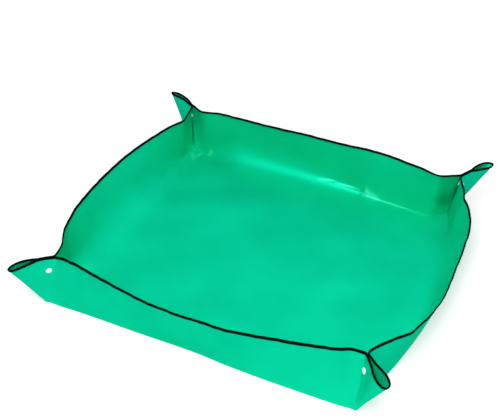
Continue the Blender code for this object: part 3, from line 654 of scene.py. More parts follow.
# %% [markdown]
# ## The sheet's mesh
#
# Rows of vertices run round the walls. The floor inside them is made of rings: each is a smaller copy of
# the line where the foot starts, and a fan of faces round one middle vertex closes the smallest. The middle
# surface is then pushed by the swells, and offset half a thickness to either side along its normals, which
# gives a closed skin with a real edge. The leaf beside each snap's socket is a flap of its own, because it
# bends when its snap opens, and it meets the rest of the sheet vertex on vertex.

# %% Build the middle surface
FLOOR_RING_COUNT = 40
FOOT_ROW_COUNT = 12
WALL_ROW_COUNT = 11
TAPE_ROW_COUNT = 2


def wall_heights(sheet):
    """Rows of heights: the foot, then evenly to the tape's lower edge, then the tape's own rows."""
    rows = [sheet.foot * share for share in np.linspace(-1.0, 1.0, FOOT_ROW_COUNT)]
    tape_edge = sheet.slant - TAPE_WIDTH
    for share in np.linspace(0.0, 1.0, WALL_ROW_COUNT + 1)[1:]:
        rows.append(sheet.foot + (tape_edge - sheet.foot) * share)
    for share in np.linspace(0.0, 1.0, TAPE_ROW_COUNT + 1)[1:]:
        rows.append(tape_edge + TAPE_WIDTH * share)
    return np.array(rows)


def floor_rings(ring):
    """Rings inside the foot of the walls: copies of its line, drawn together towards the floor's middle."""
    middle = np.array([0.0, 0.0, SHEET_LEVEL]) + shift
    sizes = np.arange(1, FLOOR_RING_COUNT + 1) / (FLOOR_RING_COUNT + 1)
    return middle, middle + (ring - middle) * sizes[:, None, None]


def grid_faces(numbers):
    """Quads of a grid of vertex numbers, wound so that they face up where the rows run along X, Y."""
    a, b = numbers[:-1, :-1], numbers[1:, :-1]
    c, d = numbers[1:, 1:], numbers[:-1, 1:]
    return np.stack([a, b, c, d], axis=-1).reshape(-1, 4)


def vertex_normals(points, quads):
    """Each vertex's normal: the sum of its faces' cross products of diagonals, made one long."""
    cross = np.cross(points[quads[:, 2]] - points[quads[:, 0]], points[quads[:, 3]] - points[quads[:, 1]])
    size = np.linalg.norm(cross, axis=1, keepdims=True)
    cross = cross / np.sqrt(np.maximum(size, 1e-12))
    total = np.zeros_like(points)
    for corner in range(4):
        np.add.at(total, quads[:, corner], cross)
    return total / np.maximum(np.linalg.norm(total, axis=1, keepdims=True), 1e-12)


def middle_surface():
    """Points, flat places, wall quads and floor quads of the sheet, and each wall quad's row and column."""
    heights = wall_heights(surface)
    walls = surface.place(heights)
    walls_flat = surface.flat(heights)
    # What lies on the table is already flat, so there the flat place is the place itself
    on_table = 1.0 - smooth_step((heights / surface.foot + 1.0) / 2)
    walls_flat += (walls[..., :2] - shift[:2] - walls_flat) * on_table[..., None]
    middle, rings = floor_rings(walls[0])
    walls = np.concatenate([rings, walls])
    walls_flat = np.concatenate([rings[..., :2] - shift[:2], walls_flat])
    rows, columns = walls.shape[:2]
    points = np.vstack([walls.reshape(-1, 3), middle])
    flat = np.vstack([walls_flat.reshape(-1, 2), np.zeros(2)])
    numbers = np.arange(rows * columns).reshape(rows, columns)
    numbers = np.hstack([numbers, numbers[:, :1]])
    wall_quads = grid_faces(numbers.T)[:, [0, 3, 2, 1]]
    inner = numbers[0]
    centre = np.full(columns // 2, rows * columns)
    floor_quads = np.column_stack([centre, inner[:-1:2], inner[1::2], inner[2::2]])
    column_of, row_of = np.divmod(np.arange(len(wall_quads)), rows - 1)
    return points, flat, wall_quads, floor_quads, row_of, column_of


def push_swells(points, flat, quads):
    """The points moved along their normals by the swells, and kept on the table or above it."""
    lift = swell_height(flat) * calm(points, flat)
    moved = points + vertex_normals(points, quads) * lift[:, None]
    moved[:, 2] = np.maximum(moved[:, 2], SHEET_LEVEL)
    return moved


points, flat, wall_quads, floor_quads, row_of, column_of = middle_surface()
all_quads = np.vstack([wall_quads, floor_quads])
points = push_swells(points, flat, all_quads)
normals = vertex_normals(points, all_quads)
print("sheet vertices", len(points), "quads", len(all_quads), "normal up on floor", np.round(normals[-1], 3))

# %% [markdown]
# ## Skin on both sides
#
# Cloth seen from its edge must have an edge, so the middle surface gets an upper and a lower skin and a
# narrow strip round every border. The strip is what closes a piece, and what makes light and shadow treat
# it as a solid. The flaps that follow the snaps are cut out of the same grid, so their borders lie exactly
# on the borders of the large piece, and the seam between them can't be seen.

# %% Close the sheet into pieces
FLAP_LOOP_COLUMN = 6
FLAP_WALL_COLUMN = LOOP_COLUMNS + NECK_COLUMNS + 26
FLAP_FIRST_ROW = FLOOR_RING_COUNT + FOOT_ROW_COUNT
# For each corner: the ring's quarter that its side wall is in, and whether the ear is at its start
FLAP_QUARTERS = {"front_right": (1, True), "back_right": (1, False),
                 "back_left": (3, True), "front_left": (3, False)}


def flap_columns(name):
    """First and last ring column of a corner's flap."""
    quarter, at_start = FLAP_QUARTERS[name]
    if at_start:
        return quarter * QUARTER + FLAP_LOOP_COLUMN, quarter * QUARTER + FLAP_WALL_COLUMN
    return (quarter + 1) * QUARTER - FLAP_WALL_COLUMN, (quarter + 1) * QUARTER - FLAP_LOOP_COLUMN


def make_object(name, vertices, faces, smooth_angle=None):
    """A mesh object from arrays, at the origin."""
    mesh = bpy.data.meshes.new(name)
    mesh.from_pydata(vertices.tolist(), [], faces if isinstance(faces, list) else faces.tolist())
    mesh.shade_smooth()
    if smooth_angle is not None:
        mesh.set_sharp_from_angle(angle=smooth_angle)
    thing = bpy.data.objects.new(name, mesh)
    bpy.context.collection.objects.link(thing)
    return thing


def add_uv(mesh, name, places):
    """A UV map from one place for each vertex."""
    corners = np.empty(len(mesh.loops), np.int32)
    mesh.loops.foreach_get("vertex_index", corners)
    layer = mesh.uv_layers.new(name=name)
    layer.data.foreach_set("uv", places[corners].astype(np.float32).ravel())


def skin(name, quads):
    """Both faces of a piece of the sheet: each vertex moved half a thickness along its normal, either way."""
    used, packed = np.unique(quads, return_inverse=True)
    packed = packed.reshape(quads.shape)
    count = len(used)
    half = normals[used] * SHEET_THICKNESS / 2
    vertices = np.vstack([points[used] + half, points[used] - half])
    edges = np.stack([packed, np.roll(packed, -1, axis=1)], axis=-1).reshape(-1, 2)
    keys = edges[:, 0] * count + edges[:, 1]
    border = edges[~np.isin(keys, edges[:, 1] * count + edges[:, 0])]
    strips = np.column_stack([border[:, 1], border[:, 0], border[:, 0] + count, border[:, 1] + count])
    piece = make_object(name, vertices, np.vstack([packed, packed[:, ::-1] + count, strips]))
    split = np.vstack([normals[used], -normals[used]])
    piece.data.normals_split_custom_set_from_vertices(split.tolist())
    add_uv(piece.data, "flat", np.vstack([flat[used], flat[used]]))
    return piece


flap_quads = {}
in_flap = np.zeros(len(wall_quads), bool)
for name in CORNERS:
    first_column, last_column = flap_columns(name)
    chosen = (column_of >= first_column) & (column_of < last_column) & (row_of >= FLAP_FIRST_ROW)
    flap_quads[name] = wall_quads[chosen]
    in_flap |= chosen
main_sheet = skin("mat_sheet", np.vstack([wall_quads[~in_flap], floor_quads]))
flaps = {name: skin(name + "_sheet_flap", flap_quads[name]) for name in CORNERS}
flap_sizes = [len(flap.data.polygons) for flap in flaps.values()]
print("sheet faces", len(main_sheet.data.polygons), "flap faces", flap_sizes)

# %% [markdown]
# ## Where a flap would bend
#
# When a snap opens, the leaf with the socket comes away and the sheet round it bends. Here each flap gets a
# line along one direction: where a share would start from 0 at the flap's border, and where it would reach 1
# under the cap. Nothing in this script moves the vertices by it. The direction must point away from every
# border: across the ear towards the stud, a little inwards and a little up.

# %% Bend directions
BEND_PARTS = (0.9, 0.5, 0.4)
CAP_REACH = 0.0027


def bend_line(name):
    """Two places: where the flap starts to follow the socket, and where it follows it fully."""
    ear = ears[name]
    across, inward, up = BEND_PARTS
    direction = across * ear.across - inward * ear.out + up * np.array([0.0, 0.0, 1.0])
    direction = direction / np.linalg.norm(direction)
    quads = flap_quads[name]
    edges = np.stack([quads, np.roll(quads, -1, axis=1)], axis=-1).reshape(-1, 2)
    keys = edges[:, 0] * len(points) + edges[:, 1]
    border = edges[~np.isin(keys, edges[:, 1] * len(points) + edges[:, 0])]
    rows = FLOOR_RING_COUNT + FOOT_ROW_COUNT + WALL_ROW_COUNT + TAPE_ROW_COUNT - 1
    ring_size = 4 * QUARTER
    on_rim = (border >= rows * ring_size).all(axis=1)
    start = float((points[border[~on_rim]] @ direction).max())
    end = float((ear.snap + shift) @ direction) - CAP_REACH
    return direction * start, direction * end, (end - start) * 1000


for name in CORNERS:
    print(name, "bends over", round(bend_line(name)[2], 1), "mm")

# %% [markdown]
# ## The tape
#
# A woven tape is folded over the raw rim and sewn down. It is a U carried along the rim, a little unevenly,
# as a sewing machine's guide leaves it. It starts and ends at a butt join in the back wall. Its pieces over
# the flaps are separate, so that they can bend with them.

# %% Carry the tape along the rim
FINER = 2
TAPE_GAP = 0.00015
TAPE_THICKNESS = 0.0007
TAPE_WAVE = 0.0004
JOIN_GAP = 0.0006
EAR_TAPE_SHARE = 0.8
OUTER_SHARES = (1.0, 0.92, 0.55, 0.4, 0.2, 0.0)
INNER_SHARES = (0.76, 0.7, 0.55, 0.4, 0.2, 0.0)
FACE_BULGE_SHARES = (0.6, 1.0, 0.75, 1.0, 1.0, 1.0)
fine = FoldedSheet(column_places(FINER))
fine_count = len(fine.slant)
rim_walk = line_lengths(fine.place(fine.slant[None])[0])


def tape_width():
    """How far the tape reaches down at each fine column: a little unevenly, and less at the ears."""
    even = TAPE_WIDTH + TAPE_WAVE * ripple(rim_walk, 31)
    return even * (EAR_TAPE_SHARE + (1.0 - EAR_TAPE_SHARE) * fine.along)


def tape_rings():
    """Rings of points across the tape at each fine column: over one face, round the crown, and back."""
    inner_face = SHEET_THICKNESS / 2 + TAPE_GAP
    outer_face = inner_face + TAPE_THICKNESS
    bulge = outer_face * np.array(FACE_BULGE_SHARES)[:, None, None]
    faces = []
    for side, shares in ((1.0, INNER_SHARES), (-1.0, OUTER_SHARES)):
        heights = fine.slant[None] - tape_width()[None] * np.array(shares)[:, None]
        place = fine.place(heights)
        normal, up = fine.directions(heights)
        faces.append(place + side * normal * bulge)
        faces.append([place[row] + side * normal[row] * inner_face for row in (0, -1)])
    near, near_inside, far, far_inside = faces
    crown = [place[-1] + outer_face * (up[-1] * math.sin(angle) + normal[-1] * math.cos(angle))
             for angle in np.radians([30, 60, 90, 120, 150])]
    return np.stack(list(near) + crown + list(far[::-1]) + far_inside + near_inside[::-1], axis=1)


def strip_along(name, rings):
    """A closed solid from rings of points, one after another, with a flat face at each end."""
    count, size = rings.shape[:2]
    numbers = np.arange(count * size).reshape(count, size)
    wrapped = np.hstack([numbers, numbers[:, :1]])
    quads = np.stack([wrapped[:-1, :-1], wrapped[:-1, 1:], wrapped[1:, 1:], wrapped[1:, :-1]], axis=-1)
    faces = quads.reshape(-1, 4).tolist() + [numbers[0][::-1].tolist(), numbers[-1].tolist()]
    return make_object(name, rings.reshape(-1, 3), faces, math.radians(60))


rings = tape_rings()
flap_spans = {name: tuple(FINER * column for column in flap_columns(name)) for name in CORNERS}
join = int(np.argmax(fine.root[:, 1] - 2 * np.abs(fine.root[:, 0])))


def tape_part(name, first, last, start_gap=0.0, end_gap=0.0):
    """The tape from one fine column to another, with its ends drawn back by half the gap of the join."""
    chosen = rings[np.arange(first, last + 1) % fine_count].copy()
    for end, inner, gap in ((0, 1, start_gap), (-1, -2, end_gap)):
        step = chosen[inner] - chosen[end]
        chosen[end] += step * (gap / np.linalg.norm(step, axis=1).mean())
    piece = strip_along(name, chosen)
    walk = np.cumsum(np.concatenate([[0.0], np.linalg.norm(np.diff(chosen.mean(axis=1), axis=0), axis=1)]))
    size = chosen.shape[1]
    across = np.tile(np.arange(size) / size, len(chosen))
    add_uv(piece.data, "flat", np.column_stack([np.repeat(walk, size), across * 3.6 * TAPE_WIDTH]))
    return piece


front_left, front_right, back_right, back_left = (flap_spans[name] for name in CORNERS)
tape_parts = {
    "front_tape": tape_part("front_tape", front_left[1] - fine_count, front_right[0]),
    "right_tape": tape_part("right_tape", front_right[1], back_right[0]),
    "back_tape_right": tape_part("back_tape_right", back_right[1], join, 0.0, JOIN_GAP / 2),
    "back_tape_left": tape_part("back_tape_left", join, back_left[0], JOIN_GAP / 2, 0.0),
    "left_tape": tape_part("left_tape", back_left[1], front_left[0]),
}
flap_tapes = {name: tape_part(name + "_tape", *flap_spans[name]) for name in CORNERS}
print("tape pieces", len(tape_parts) + len(flap_tapes), "rim length m", round(float(rim_walk[-1]), 3))

# %% [markdown]
# ## Stitches
#
# One row of lockstitch holds the tape. Each stitch is a short length of thread that dips into the tape at
# both ends. There are over 800 on each face, so each stitch has only a few faces. They are swept along the
# rim as whole arrays: five places along the thread, and a small ring of points round each.

# %% Sew the tape
STITCH_PITCH = 0.0034
STITCH_LENGTH = 0.0026
STITCH_RADIUS = 0.00022
STITCH_UP_SHARE = 0.55
STITCH_SIDES = 5
STITCH_STATIONS = np.array([-1.0, -0.55, 0.0, 0.55, 1.0])


def stitch_line():
    """Place, normal and up at each fine column, where the needle went through the tape."""
    height = (fine.slant - tape_width() * STITCH_UP_SHARE)[None]
    normal, up = fine.directions(height)
    return np.hstack([fine.place(height)[0], normal[0], up[0]])


sewn_line = stitch_line()


def stitch_row(name, first, last, side):
    """Threads on one face between two fine columns: stations along each, with a ring round each station."""
    line = sewn_line[np.arange(first, last + 1) % fine_count]
    walked = line_lengths(line[:, :3])
    count = int((walked[-1] - STITCH_LENGTH) / STITCH_PITCH)
    centres = (np.arange(count) + 0.5) * walked[-1] / count
    spots = (centres[:, None] + STITCH_STATIONS * STITCH_LENGTH / 2).ravel()
    sewn = spread_evenly(line, walked, spots)
    place, normal, up = sewn[:, :3], sewn[:, 3:6] * side, sewn[:, 6:]
    lift = np.tile(1.0 - STITCH_STATIONS ** 2, count)[:, None]
    seat = (SHEET_THICKNESS / 2 + TAPE_GAP + TAPE_THICKNESS) * min(FACE_BULGE_SHARES[1:])
    middle = place + normal * (seat + lift * STITCH_RADIUS)
    radius = STITCH_RADIUS * (0.55 + 0.45 * lift)
    angles = np.linspace(0.0, 2 * math.pi, STITCH_SIDES, endpoint=False)
    ring = middle[:, None] + radius[:, None] * (np.cos(angles)[None, :, None] * normal[:, None]
                                                + side * np.sin(angles)[None, :, None] * up[:, None])
    stations = len(STITCH_STATIONS)
    numbers = np.arange(count * stations * STITCH_SIDES).reshape(count, stations, STITCH_SIDES)
    wrapped = np.concatenate([numbers, numbers[:, :, :1]], axis=2)
    quads = np.stack([wrapped[:, :-1, :-1], wrapped[:, :-1, 1:],
                      wrapped[:, 1:, 1:], wrapped[:, 1:, :-1]], axis=-1)
    faces = quads.reshape(-1, 4).tolist() + numbers[:, 0, ::-1].tolist() + numbers[:, -1].tolist()
    return make_object(name, ring.reshape(-1, 3), faces)


def stitch_rows(prefix, first, last):
    """The rows on the tape's inner and outer face."""
    faces = (("in", 1.0), ("out", -1.0))
    return [stitch_row(f"{prefix}_stitches_{label}", first, last, side) for label, side in faces]


stitch_spans = {
    "front": (front_left[1] - fine_count, front_right[0]),
    "right": (front_right[1], back_right[0]),
    "back": (back_right[1], back_left[0]),
    "left": (back_left[1], front_left[0]),
}
stitches = [row for name, span in stitch_spans.items() for row in stitch_rows(name, *span)]
flap_stitches = {name: stitch_rows(name, *flap_spans[name]) for name in CORNERS}
print("stitch faces", sum(len(row.data.polygons) for row in stitches))

# %% [markdown]
# ## The snaps
#
# Each corner has one press snap of four moulded plastic parts. A domed cap with a post sits outside each
# leaf. The post goes through the leaf and is pressed into a stud on one side and into a socket on the
# other. All four are round, so each is an outline turned about the snap's axis. The corners of an outline
# are rounded off, because moulded plastic has no sharp edges and the rounded ones catch the light.

# %% Turn the snap parts
TURN_SEGMENTS = 64
SEAT = LEAF_OFFSET - SHEET_THICKNESS / 2 - 0.0002
CAP_SEAT = LEAF_OFFSET + SHEET_THICKNESS / 2 + 0.0002
CAP_RADIUS = CAP_DIAMETER / 2
STUD_HEAD = SEAT - 0.0018
SOCKET_HEAD = SEAT - 0.0009


def arc(centre, radius, start, stop, count=6):
    """Places on a circle's arc, as radius from the axis and height, with the angles in degrees."""
    angles = np.radians(np.linspace(start, stop, count))
    return [(centre[0] + radius * math.cos(a), centre[1] + radius * math.sin(a)) for a in angles]


def cap_profile(head):
    """A shallow dome with a dimple, a round edge, and a post down to its rivet head."""
    crown = [(0.0, CAP_SEAT + 0.0013), (0.0007, CAP_SEAT + 0.00133), (0.0012, CAP_SEAT + 0.0015)]
    dome = [(CAP_RADIUS * x, CAP_SEAT + 0.0008 + 0.0007 * math.sqrt(1.0 - x * x))
            for x in (0.35, 0.5, 0.65, 0.78, 0.88)]
    edge = arc((CAP_RADIUS - 0.0004, CAP_SEAT + 0.0005), 0.0004, 70, -90, 9)
    post = [(0.0007, CAP_SEAT), (0.0007, head), (0.0011, head - 0.00015),
            (0.0009, head - 0.0004), (0.0, head - 0.0004)]
    return crown + dome + edge + post


def stud_profile():
    """A flange with a round edge, and a knob that swells towards its end and has a recess in it."""
    face = SEAT - 0.0009
    edge = arc((0.0046, SEAT - 0.00045), 0.00044, 90, -90, 9)
    flange = [(0.001, SEAT)] + edge + [(0.0021, face), (0.0019, face - 0.0002)]
    knob = [(0.0019, face - 0.0009)] + arc((0.0015, face - 0.0016), 0.0006, 30, -90, 8)
    recess = [(0.00145, face - 0.0022), (0.00145, face - 0.0009), (0.001, face - 0.0009)]
    return flange + knob + recess


def socket_profile():
    """A flange with a round edge, and a ring whose mouth is a little narrower than its groove."""
    face, mouth = SEAT - 0.0009, SEAT - 0.0032
    edge = arc((0.0048, SEAT - 0.00045), 0.00044, 90, -90, 9)
    flange = [(0.001, SEAT)] + edge + [(0.0043, face), (0.004, face - 0.0003)]
    ring = arc((0.0036, mouth + 0.0004), 0.0004, 0, -90) + arc((0.0027, mouth + 0.0003), 0.0003, -90, -180)
    bore = [(0.0024, mouth + 0.0008), (0.0026, mouth + 0.0013), (0.0026, face), (0.001, face)]
    return flange + ring + bore


def turned(name, profile, ear, flip):
    """A profile turned about the snap's axis, from the ear's middle plane outwards."""
    ends_on_axis = profile[0][0] == 0.0
    stations = np.array(profile)
    if not ends_on_axis:
        stations = np.vstack([stations, stations[:1]])
    radius, height = stations[:, :1], stations[:, 1:]
    angles = np.linspace(0.0, 2 * math.pi, TURN_SEGMENTS, endpoint=False)[None]
    z_axis = ear.axis * (-1.0 if flip else 1.0)
    x_axis = ear.out
    y_axis = np.cross(z_axis, x_axis)
    grid = ((radius * np.cos(angles))[..., None] * x_axis + (radius * np.sin(angles))[..., None] * y_axis
            + height[..., None] * z_axis + ear.snap + shift)
    keep = grid if ends_on_axis else grid[:-1]
    rows, size = keep.shape[:2]
    numbers = np.arange(rows * size).reshape(rows, size)
    if not ends_on_axis:
        numbers = np.vstack([numbers, numbers[:1]])
    else:
        numbers[0], numbers[-1] = 0, (rows - 1) * size
    wrapped = np.hstack([numbers, numbers[:, :1]])
    quads = grid_faces(wrapped)
    faces = [[v for v, after in zip(q, q[1:] + q[:1]) if v != after] for q in quads.tolist()]
    used = np.unique(numbers)
    packed = np.zeros(rows * size, int)
    packed[used] = np.arange(len(used))
    faces = [packed[face].tolist() for face in faces]
    return make_object(name, keep.reshape(-1, 3)[used], faces, math.radians(50))


snaps = {}
for name, ear in ears.items():
    made = {
        "stud_cap": turned(f"{name}_stud_cap_moulded", cap_profile(STUD_HEAD), ear, False),
        "stud": turned(f"{name}_stud_moulded", stud_profile(), ear, False),
        "socket_cap": turned(f"{name}_socket_cap_moulded", cap_profile(SOCKET_HEAD), ear, True),
        "socket": turned(f"{name}_socket_moulded", socket_profile(), ear, True),
    }
    snaps[name] = made
    for piece, thing in made.items():
        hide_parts(f"{name}_{piece}")
print("snap parts", sum(len(made) for made in snaps.values()))

# %% [markdown]
# ## Shader arithmetic
#
# A node tree is easier to read as sums. This small class wraps a socket and gives it plus, minus, times
# and the like. Numbers go through Math nodes and colours through Vector Math nodes. Every other node comes
# from one method that takes its type, its settings and what goes into its sockets.

# %% Wrap sockets
class Socket:
    """A socket of a node tree, with arithmetic."""

    def __init__(self, tree, socket):
        self.tree, self.socket = tree, socket

    def node(self, kind, settings=None, out=0, **inputs):
        return make_node(self.tree, kind, settings, out, **inputs)

    def math(self, operation, first, second=0.0):
        vector = any(isinstance(v, Socket) and v.socket.type in ("RGBA", "VECTOR") for v in (first, second))
        kind = "ShaderNodeVectorMath" if vector else "ShaderNodeMath"
        if vector:
            first, second = (((v,) * 3 if isinstance(v, (int, float)) else v) for v in (first, second))
        return make_node(self.tree, kind, {"operation": operation}, 0, **{"0": first, "1": second})

    def __add__(self, other):
        return self.math("ADD", self, other)

    def __radd__(self, other):
        return self.math("ADD", other, self)

    def __sub__(self, other):
        return self.math("SUBTRACT", self, other)

    def __rsub__(self, other):
        return self.math("SUBTRACT", other, self)

    def __mul__(self, other):
        return self.math("MULTIPLY", self, other)

    def __rmul__(self, other):
        return self.math("MULTIPLY", other, self)

    def __truediv__(self, other):
        return self.math("DIVIDE", self, other)

    def __rtruediv__(self, other):
        return self.math("DIVIDE", other, self)

    def clamped(self):
        return self.node("ShaderNodeClamp", Value=self)

    def sine(self):
        return self.math("SINE", self)

    def length(self):
        return self.node("ShaderNodeVectorMath", {"operation": "LENGTH"}, 1, **{"0": self})

    def exponential(self):
        return self.math("EXPONENT", self)

    def mixed(self, low, high):
        """The colour low where this is 0 and high where it is 1."""
        return self.node("ShaderNodeMix", {"data_type": "RGBA"}, 2, Factor=self, A=low, B=high)


def make_node(tree, kind, settings=None, out=0, **inputs):
    """A node of a type, with settings, and numbers or sockets for its inputs; returns one of its outputs."""
    node = tree.nodes.new(kind)
    for setting, value in (settings or {}).items():
        setattr(node, setting, value)
    for label, value in inputs.items():
        if label.isdigit():
            target = node.inputs[int(label)]
        else:
            target = next(s for s in node.inputs if s.enabled and s.name == label.replace("_", " "))
        if isinstance(value, Socket):
            tree.links.new(value.socket, target)
        else:
            target.default_value = value
    return Socket(tree, node.outputs[out])


def new_material(name, roughness, specular):
    """A material with a Principled shader, and the two as tree and shader."""
    material = bpy.data.materials.new(name)
    material.use_nodes = True
    shader = material.node_tree.nodes["Principled BSDF"]
    shader.inputs["Roughness"].default_value = roughness
    shader.inputs["Specular IOR Level"].default_value = specular
    return material, material.node_tree, shader


# %% [markdown]
# ## The coated sheet
#
# The green sheet is a woven fabric under a smooth plastic coat: satin, with a faint grain of threads.
# The colour drifts by a few hundredths over palm-sized patches. The short wrinkles near the corners are
# drawn here, each as a line on the flat sheet with a bell curve across it. It lifts or sinks the surface as
# a bump. Along some creases it also paints a highlight, as a paler colour, and into some folds it paints
# shade, as a darker colour.
# Everything is read from the flat sheet's own map, so it runs on over every fold.

# %% Finish the sheet
SHEET_GREEN = (0.002, 0.620, 0.350, 1.0)
SHEET_GREEN_DEEP = (0.001, 0.530, 0.290, 1.0)
# A painted highlight colour for the creases, and a painted shade colour for the folds
CREASE_HIGHLIGHT_GREEN = (0.050, 0.880, 0.600, 1.0)
FOLD_SHADE_GREEN = (0.001, 0.250, 0.080, 1.0)
PAINTED_LIGHT_SHARE = 0.6
PATCH_CONTRAST = 2.2
WEAVE_PERIOD = 0.0018
WEAVE_HEIGHT = 0.00002
GRAIN_HEIGHT = 0.00012
SHEET_ROUGHNESS = 0.36
PATCH_ROUGHNESS = 0.08
SHEET_METAL_SHARE = 0.35
EDGE_TINT = (0.02, 0.9, 0.6, 1.0)
SHEET_GLOW_SHARE = 0.4
GLOW_RADIUS = (0.2, 1.0, 0.6)
GLOW_SCALE = 0.002


# Each wrinkle: from, to, height and width in metres on the flat sheet, whose middle is 0, 0, and how much
# painted highlight makes it paler, or, where that is negative, how much painted shade makes it darker
WRINKLES = (
    ((0.111, 0.284), (0.118, 0.248), 0.0016, 0.0034, 1.0),
    ((0.110, 0.280), (0.098, 0.242), -0.0020, 0.0028, -0.5),
    ((0.106, 0.270), (0.145, 0.252), 0.0014, 0.0075, 1.6),
    ((0.008, 0.262), (0.052, 0.271), 0.0012, 0.0034, 1.2),
    ((0.044, 0.264), (0.104, 0.267), 0.0014, 0.0038, 1.2),
    ((0.128, 0.256), (0.246, 0.243), 0.0004, 0.0036, 1.3),
    ((0.254, 0.274), (0.302, 0.356), -0.0040, 0.0110, -1.2),
    ((-0.274, 0.256), (-0.252, 0.224), 0.0010, 0.0038, 0.9),
    ((-0.257, 0.238), (-0.250, 0.264), 0.0010, 0.0038, 0.9),
    ((-0.234, 0.252), (-0.233, 0.279), 0.0010, 0.0038, 0.9),
)


def wrinkle(u, v, start, stop, width):
    """A ridge of height 1: a bell curve across the line, times 4a(1 - a), with a from 0 to 1 along it."""
    line = np.subtract(stop, start)
    from_u, from_v = u - float(start[0]), v - float(start[1])
    length = float(line @ line)
    along = (from_u * float(line[0] / length) + from_v * float(line[1] / length)).clamped()
    off_u, off_v = from_u - along * float(line[0]), from_v - along * float(line[1])
    away = (off_u * off_u + off_v * off_v) * (-1.0 / width ** 2)
    return away.exponential() * (along * (1.0 - along) * 4.0)


def sheet_material():
    """Satin green with a woven bump, soft patches, painted highlights along creases and painted shade in
    folds.
    """
    material, tree, shader = new_material("coated_sheet", SHEET_ROUGHNESS, 0.0)
    shader.inputs["Metallic"].default_value = SHEET_METAL_SHARE
    shader.inputs["Specular Tint"].default_value = EDGE_TINT
    shader.inputs["Subsurface Weight"].default_value = SHEET_GLOW_SHARE
    shader.inputs["Subsurface Radius"].default_value = GLOW_RADIUS
    shader.inputs["Subsurface Scale"].default_value = GLOW_SCALE
    uv = make_node(tree, "ShaderNodeUVMap", {"uv_map": "flat"})
    u, v = (make_node(tree, "ShaderNodeSeparateXYZ", None, axis, Vector=uv) for axis in (0, 1))
    turns = 2 * math.pi / WEAVE_PERIOD
    weave = (u * turns).sine() * (v * turns).sine()
    patches = make_node(tree, "ShaderNodeTexNoise", None, 0, Vector=uv, Scale=9.0, Detail=2.0, Roughness=0.5)
    patches = ((patches - 0.5) * PATCH_CONTRAST + 0.5).clamped()
    grain = make_node(tree, "ShaderNodeTexNoise", None, 0, Vector=uv, Scale=220.0, Detail=3.0, Roughness=0.6)
    ridges, painted_highlight, painted_shade = 0.0, 0.0, 0.0
    for start, stop, height, width, highlight_or_shade in WRINKLES:
        ridge = wrinkle(u, v, start, stop, width)
        ridges = ridges + ridge * height
        # A positive share adds painted highlight and a negative share adds painted shade
        if highlight_or_shade > 0.0:
            painted_highlight = painted_highlight + ridge * highlight_or_shade
        else:
            painted_shade = painted_shade - ridge * highlight_or_shade
    colour = patches.mixed(SHEET_GREEN_DEEP, SHEET_GREEN)
    # Painted highlights along the creases, then painted shade in the folds
    colour = (painted_highlight * PAINTED_LIGHT_SHARE).clamped().mixed(colour, CREASE_HIGHLIGHT_GREEN)
    colour = (painted_shade * PAINTED_LIGHT_SHARE).clamped().mixed(colour, FOLD_SHADE_GREEN)
    tree.links.new(colour.socket, shader.inputs["Base Color"])
    rough = SHEET_ROUGHNESS + patches * PATCH_ROUGHNESS
    tree.links.new(rough.socket, shader.inputs["Roughness"])
    height = weave * WEAVE_HEIGHT + grain * GRAIN_HEIGHT + ridges
    bump = make_node(tree, "ShaderNodeBump", None, 0, Height=height, Strength=0.6, Distance=1.0)
    tree.links.new(bump.socket, shader.inputs["Normal"])
    return material


sheet_finish = sheet_material()
for piece in [main_sheet] + list(flaps.values()):
    piece.data.materials.append(sheet_finish)
print("sheet finish", sheet_finish.name)

# %% [markdown]
# ## Tape, thread and plastic
#
# The tape is a matt black woven webbing with fine ribs along it. The thread is black too, a little
# shinier, so that it shows only as small glints. The snaps are white moulded plastic, smooth and half
# glossy, with the faintest unevenness left from the mould.

# %% Finish the tape, the thread and the snaps
RIB_PERIOD = 0.0008


def tape_material():
    """Matt black with ribs across the tape's map."""
    material, tree, shader = new_material("binding_tape", 0.85, 0.02)
    uv = make_node(tree, "ShaderNodeUVMap", {"uv_map": "flat"})
    along, across = (make_node(tree, "ShaderNodeSeparateXYZ", None, axis, Vector=uv) for axis in (0, 1))
    turns = 2 * math.pi / RIB_PERIOD
    ribs = (along * turns).sine() * (across * turns).sine()
    fuzz = make_node(tree, "ShaderNodeTexNoise", None, 0, Vector=uv, Scale=500.0, Detail=2.0, Roughness=0.6)
    colour = fuzz.mixed((0.0004, 0.0026, 0.0012, 1.0), (0.0012, 0.0060, 0.0034, 1.0))
    tree.links.new(colour.socket, shader.inputs["Base Color"])
    height = ribs * 0.00004 + fuzz * 0.0001
    bump = make_node(tree, "ShaderNodeBump", None, 0, Height=height, Strength=0.5, Distance=1.0)
    tree.links.new(bump.socket, shader.inputs["Normal"])
    return material


def thread_material():
    """Dark polyester thread."""
    material, tree, shader = new_material("stitch_thread", 0.6, 0.1)
    place = make_node(tree, "ShaderNodeTexCoord", None, 3)
    fuzz = make_node(tree, "ShaderNodeTexNoise", None, 0, Vector=place, Scale=900.0, Detail=1.0)
    colour = fuzz.mixed((0.001, 0.004, 0.002, 1.0), (0.003, 0.010, 0.006, 1.0))
    tree.links.new(colour.socket, shader.inputs["Base Color"])
    return material


def plastic_material():
    """White moulded plastic."""
    material, tree, shader = new_material("snap_plastic", 0.3, 0.5)
    place = make_node(tree, "ShaderNodeTexCoord", None, 3)
    tone = make_node(tree, "ShaderNodeTexNoise", None, 0, Vector=place, Scale=120.0, Detail=2.0)
    colour = tone.mixed((0.78, 0.93, 0.90, 1.0), (0.84, 0.96, 0.93, 1.0))
    tree.links.new(colour.socket, shader.inputs["Base Color"])
    rough = 0.26 + tone * 0.1
    tree.links.new(rough.socket, shader.inputs["Roughness"])
    return material


